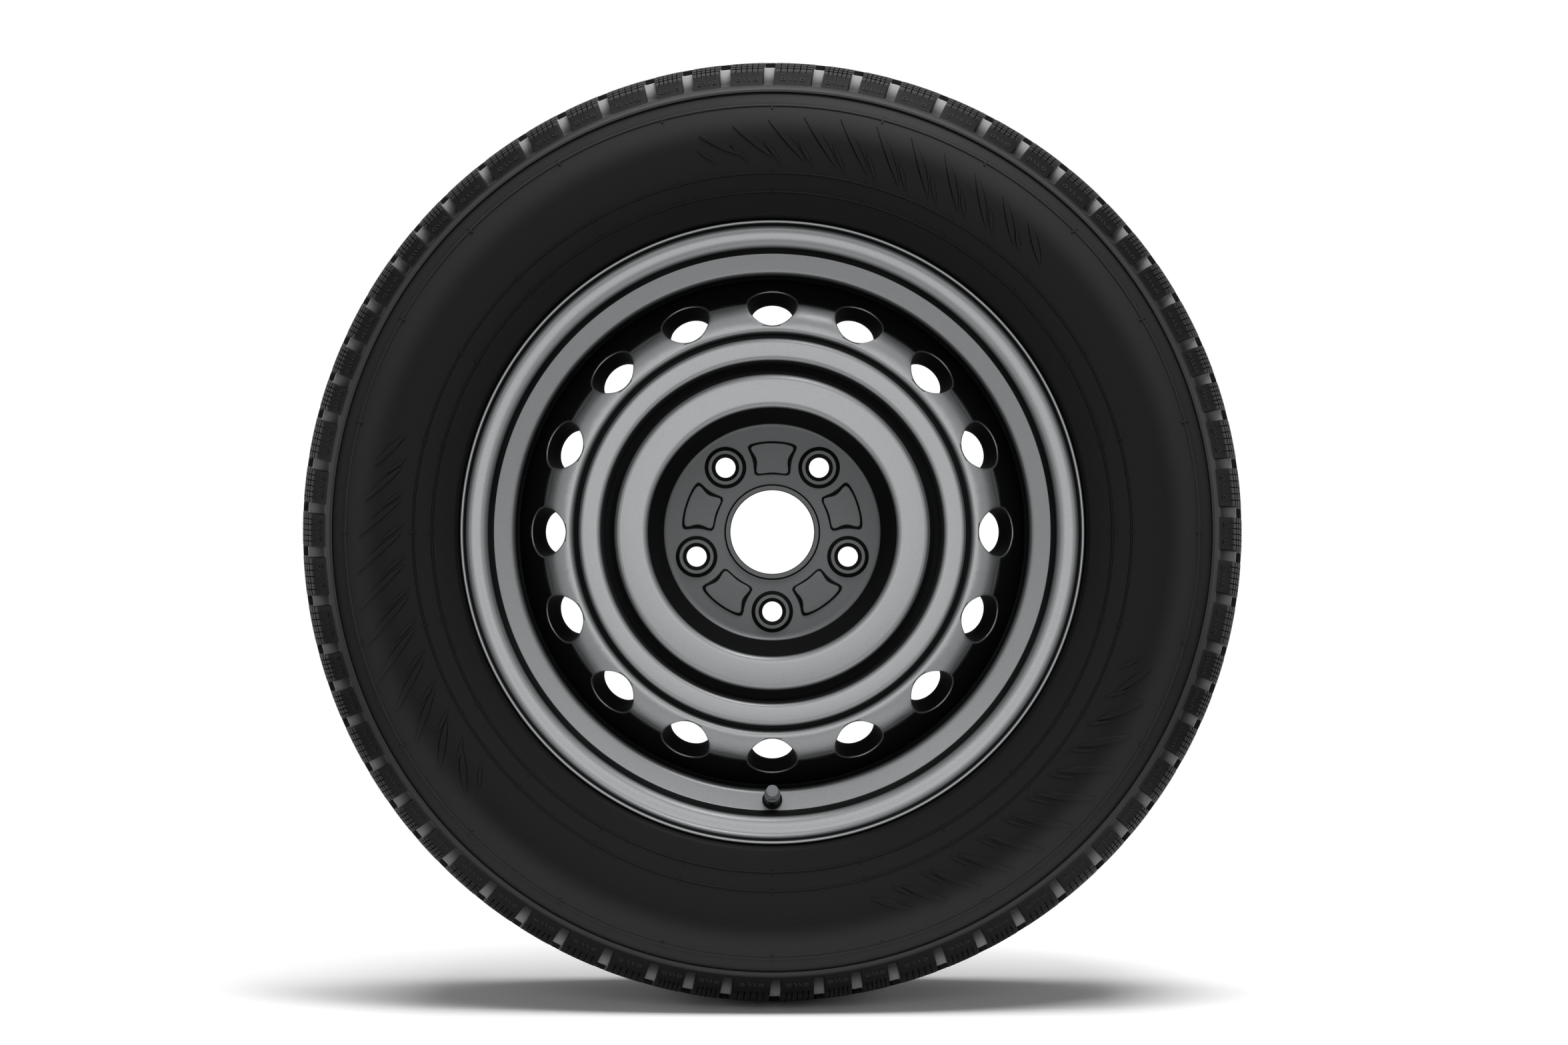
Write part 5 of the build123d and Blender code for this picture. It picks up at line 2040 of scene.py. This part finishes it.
@dataclass
class Studio:
    """Camera, lights, floor and white surroundings. Lengths are in metres, the cloth's in millimetres."""

    camera_y: float = -2.3945
    lens: float = 75.0
    shift: tuple[float, float] = (0.00748, 0.0061)
    world_light: float = 0.12
    floor_reach: float = 0.75
    floor_grey: float = 0.94
    floor_fade_start: float = 0.3
    floor_fade_share: float = 0.98
    cloth_radius: float = 1000.0
    cloth_ends: tuple[float, float] = (80.0, -620.0)
    cloth_columns: int = 48
    lights: tuple[Softbox, ...] = (
        Softbox("front_box", (0.0, -2.6, 0.4), (0.0, 0.0, 0.0), 2.2, 1.8, 1.3),
        Softbox("top_box", (0.0, -0.1, 2.2), (0.0, 0.0, 0.0), 2.2, 2.2, 5.6),
        Softbox("key_box", (0.45, -0.8, 1.9), (0.0, 0.0, 0.0), 0.9, 0.9, 9.0),
        Softbox("left_box", (-1.7, 0.25, 0.1), (0.0, 0.0, 0.1), 1.2, 0.9, 2.2),
        Softbox("right_box", (1.7, 0.25, 0.1), (0.0, 0.0, 0.1), 1.2, 0.9, 2.2),
    )

    def build(self) -> None:
        """Sets up everything that isn't part of the object."""
        self.build_camera()
        for light in self.lights:
            light.build()
        self.build_world()
        self.build_floor()
        self.build_cloth()
        bpy.context.scene.view_settings.view_transform = "Standard"

    def build_camera(self) -> None:
        """Camera straight in front, with the frame shifted as in the photograph."""
        data = bpy.data.cameras.new("camera")
        data.lens = self.lens
        data.sensor_width = 36.0
        data.shift_x, data.shift_y = self.shift
        data.dof.use_dof = False
        camera = bpy.data.objects.new("camera", data)
        camera.location = (0.0, self.camera_y, 0.0)
        camera.rotation_euler = (math.pi / 2, 0.0, 0.0)
        bpy.context.scene.collection.objects.link(camera)
        bpy.context.scene.camera = camera

    def build_world(self) -> None:
        """White surroundings for the eye and for reflections, dimmer as a light."""
        world = bpy.data.worlds.new("surroundings")
        world.use_nodes = True
        tree = world.node_tree
        back = tree.nodes["Background"]
        back.inputs["Color"].default_value = (1.0, 1.0, 1.0, 1.0)
        rays = tree.nodes.new("ShaderNodeLightPath").outputs
        seen = math_node(tree, "ADD", rays["Is Camera Ray"], rays["Is Glossy Ray"])
        seen = math_node(tree, "ADD", seen, rays["Is Transmission Ray"])
        level = tree.nodes.new("ShaderNodeMapRange")
        level.inputs["To Min"].default_value = self.world_light
        level.inputs["To Max"].default_value = 1.0
        tree.links.new(seen, level.inputs["Value"])
        tree.links.new(level.outputs["Result"], back.inputs["Strength"])
        bpy.context.scene.world = world

    def build_cloth(self) -> None:
        """Dark cloth round the space in front of the wheel, for the paint to mirror."""
        surface = Surface("dark_cloth")
        path = np.array([(self.cloth_radius, end) for end in self.cloth_ends])
        surface.add(revolve(path, even_clocks(self.cloth_columns)), away_from_ring(0.0), wrap=True)
        cloth = surface.build()
        cloth.data.materials.append(matt_material("dark_cloth", grey=0.004, roughness=1.0))
        cloth.visible_camera = False
        cloth.visible_diffuse = False
        cloth.visible_transmission = False
        cloth.visible_shadow = False
        cloth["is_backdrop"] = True

    def build_floor(self) -> None:
        """White floor under the tyre, which fades into the white surroundings with the distance."""
        lowest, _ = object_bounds()
        reach = self.floor_reach
        mesh = bpy.data.meshes.new("floor")
        corners = [(-reach, -reach, 0.0), (reach, -reach, 0.0), (reach, reach, 0.0), (-reach, reach, 0.0)]
        mesh.from_pydata(corners, [], [(0, 1, 2, 3)])
        floor = bpy.data.objects.new("floor", mesh)
        floor.location = (0.0, 0.0, lowest.z)
        bpy.context.scene.collection.objects.link(floor)
        material = matt_material("white_floor", self.floor_grey, roughness=0.9)
        nodes, links = material.node_tree.nodes, material.node_tree.links
        where = nodes.new("ShaderNodeTexCoord")
        length = nodes.new("ShaderNodeVectorMath")
        length.operation = "LENGTH"
        links.new(where.outputs["Object"], length.inputs[0])
        fade = nodes.new("ShaderNodeMapRange")
        fade.interpolation_type = "SMOOTHSTEP"
        fade.inputs["From Min"].default_value = self.floor_fade_start
        fade.inputs["From Max"].default_value = reach * self.floor_fade_share
        fade.inputs["To Min"].default_value = 1.0
        fade.inputs["To Max"].default_value = 0.0
        links.new(length.outputs["Value"], fade.inputs["Value"])
        links.new(fade.outputs["Result"], nodes["Principled BSDF"].inputs["Alpha"])
        mesh.materials.append(material)
        floor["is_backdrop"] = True


@dataclass
class WheelScene:
    """The whole picture: wheel, tyre, valve, materials and studio."""

    rim_sizes: RimSizes = field(default_factory=RimSizes)
    disc_sizes: DiscSizes = field(default_factory=DiscSizes)
    materials: Materials = field(default_factory=Materials)

    def dress(self, finish: Finish, *nodes: str) -> None:
        """Gives CAD nodes that stay in view a procedural material.

        Args:
            finish: their finish.
            nodes: names of the nodes.
        """
        material = self.materials.make(finish)
        for node in nodes:
            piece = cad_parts[node]
            piece.data.materials.clear()
            piece.data.materials.append(material)
            LOG.info("%s: solid with %s", node, material.name)

    def build(self) -> None:
        """Builds every piece and the studio round it."""
        paint = self.materials.make(WHEEL_PAINT)
        rubber = self.materials.make(TYRE_RUBBER)
        Rim(paint, self.rim_sizes).build()
        Disc(paint, self.rim_sizes, self.disc_sizes).build()
        WeldBeads(paint, self.rim_sizes, self.disc_sizes).build()
        Tyre(rubber, self.rim_sizes).build()
        self.dress(VALVE_RUBBER, "valve_body")
        self.dress(BRASS, "valve_stem", "valve_core_barrel", "valve_core_pin")
        self.dress(SEAL_RUBBER, "valve_core_gasket", "valve_core_cup_seal", "valve_cap_seal")
        CoreSpring(self.materials.make(SPRING_STEEL)).build()
        self.dress(CAP_PLASTIC, "valve_cap")
        Studio().build()


def main() -> None:
    """Builds the scene."""
    logging.basicConfig(level=logging.INFO, format="%(name)s: %(message)s")
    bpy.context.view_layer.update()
    WheelScene().build()


if __name__ == "__main__":
    main()
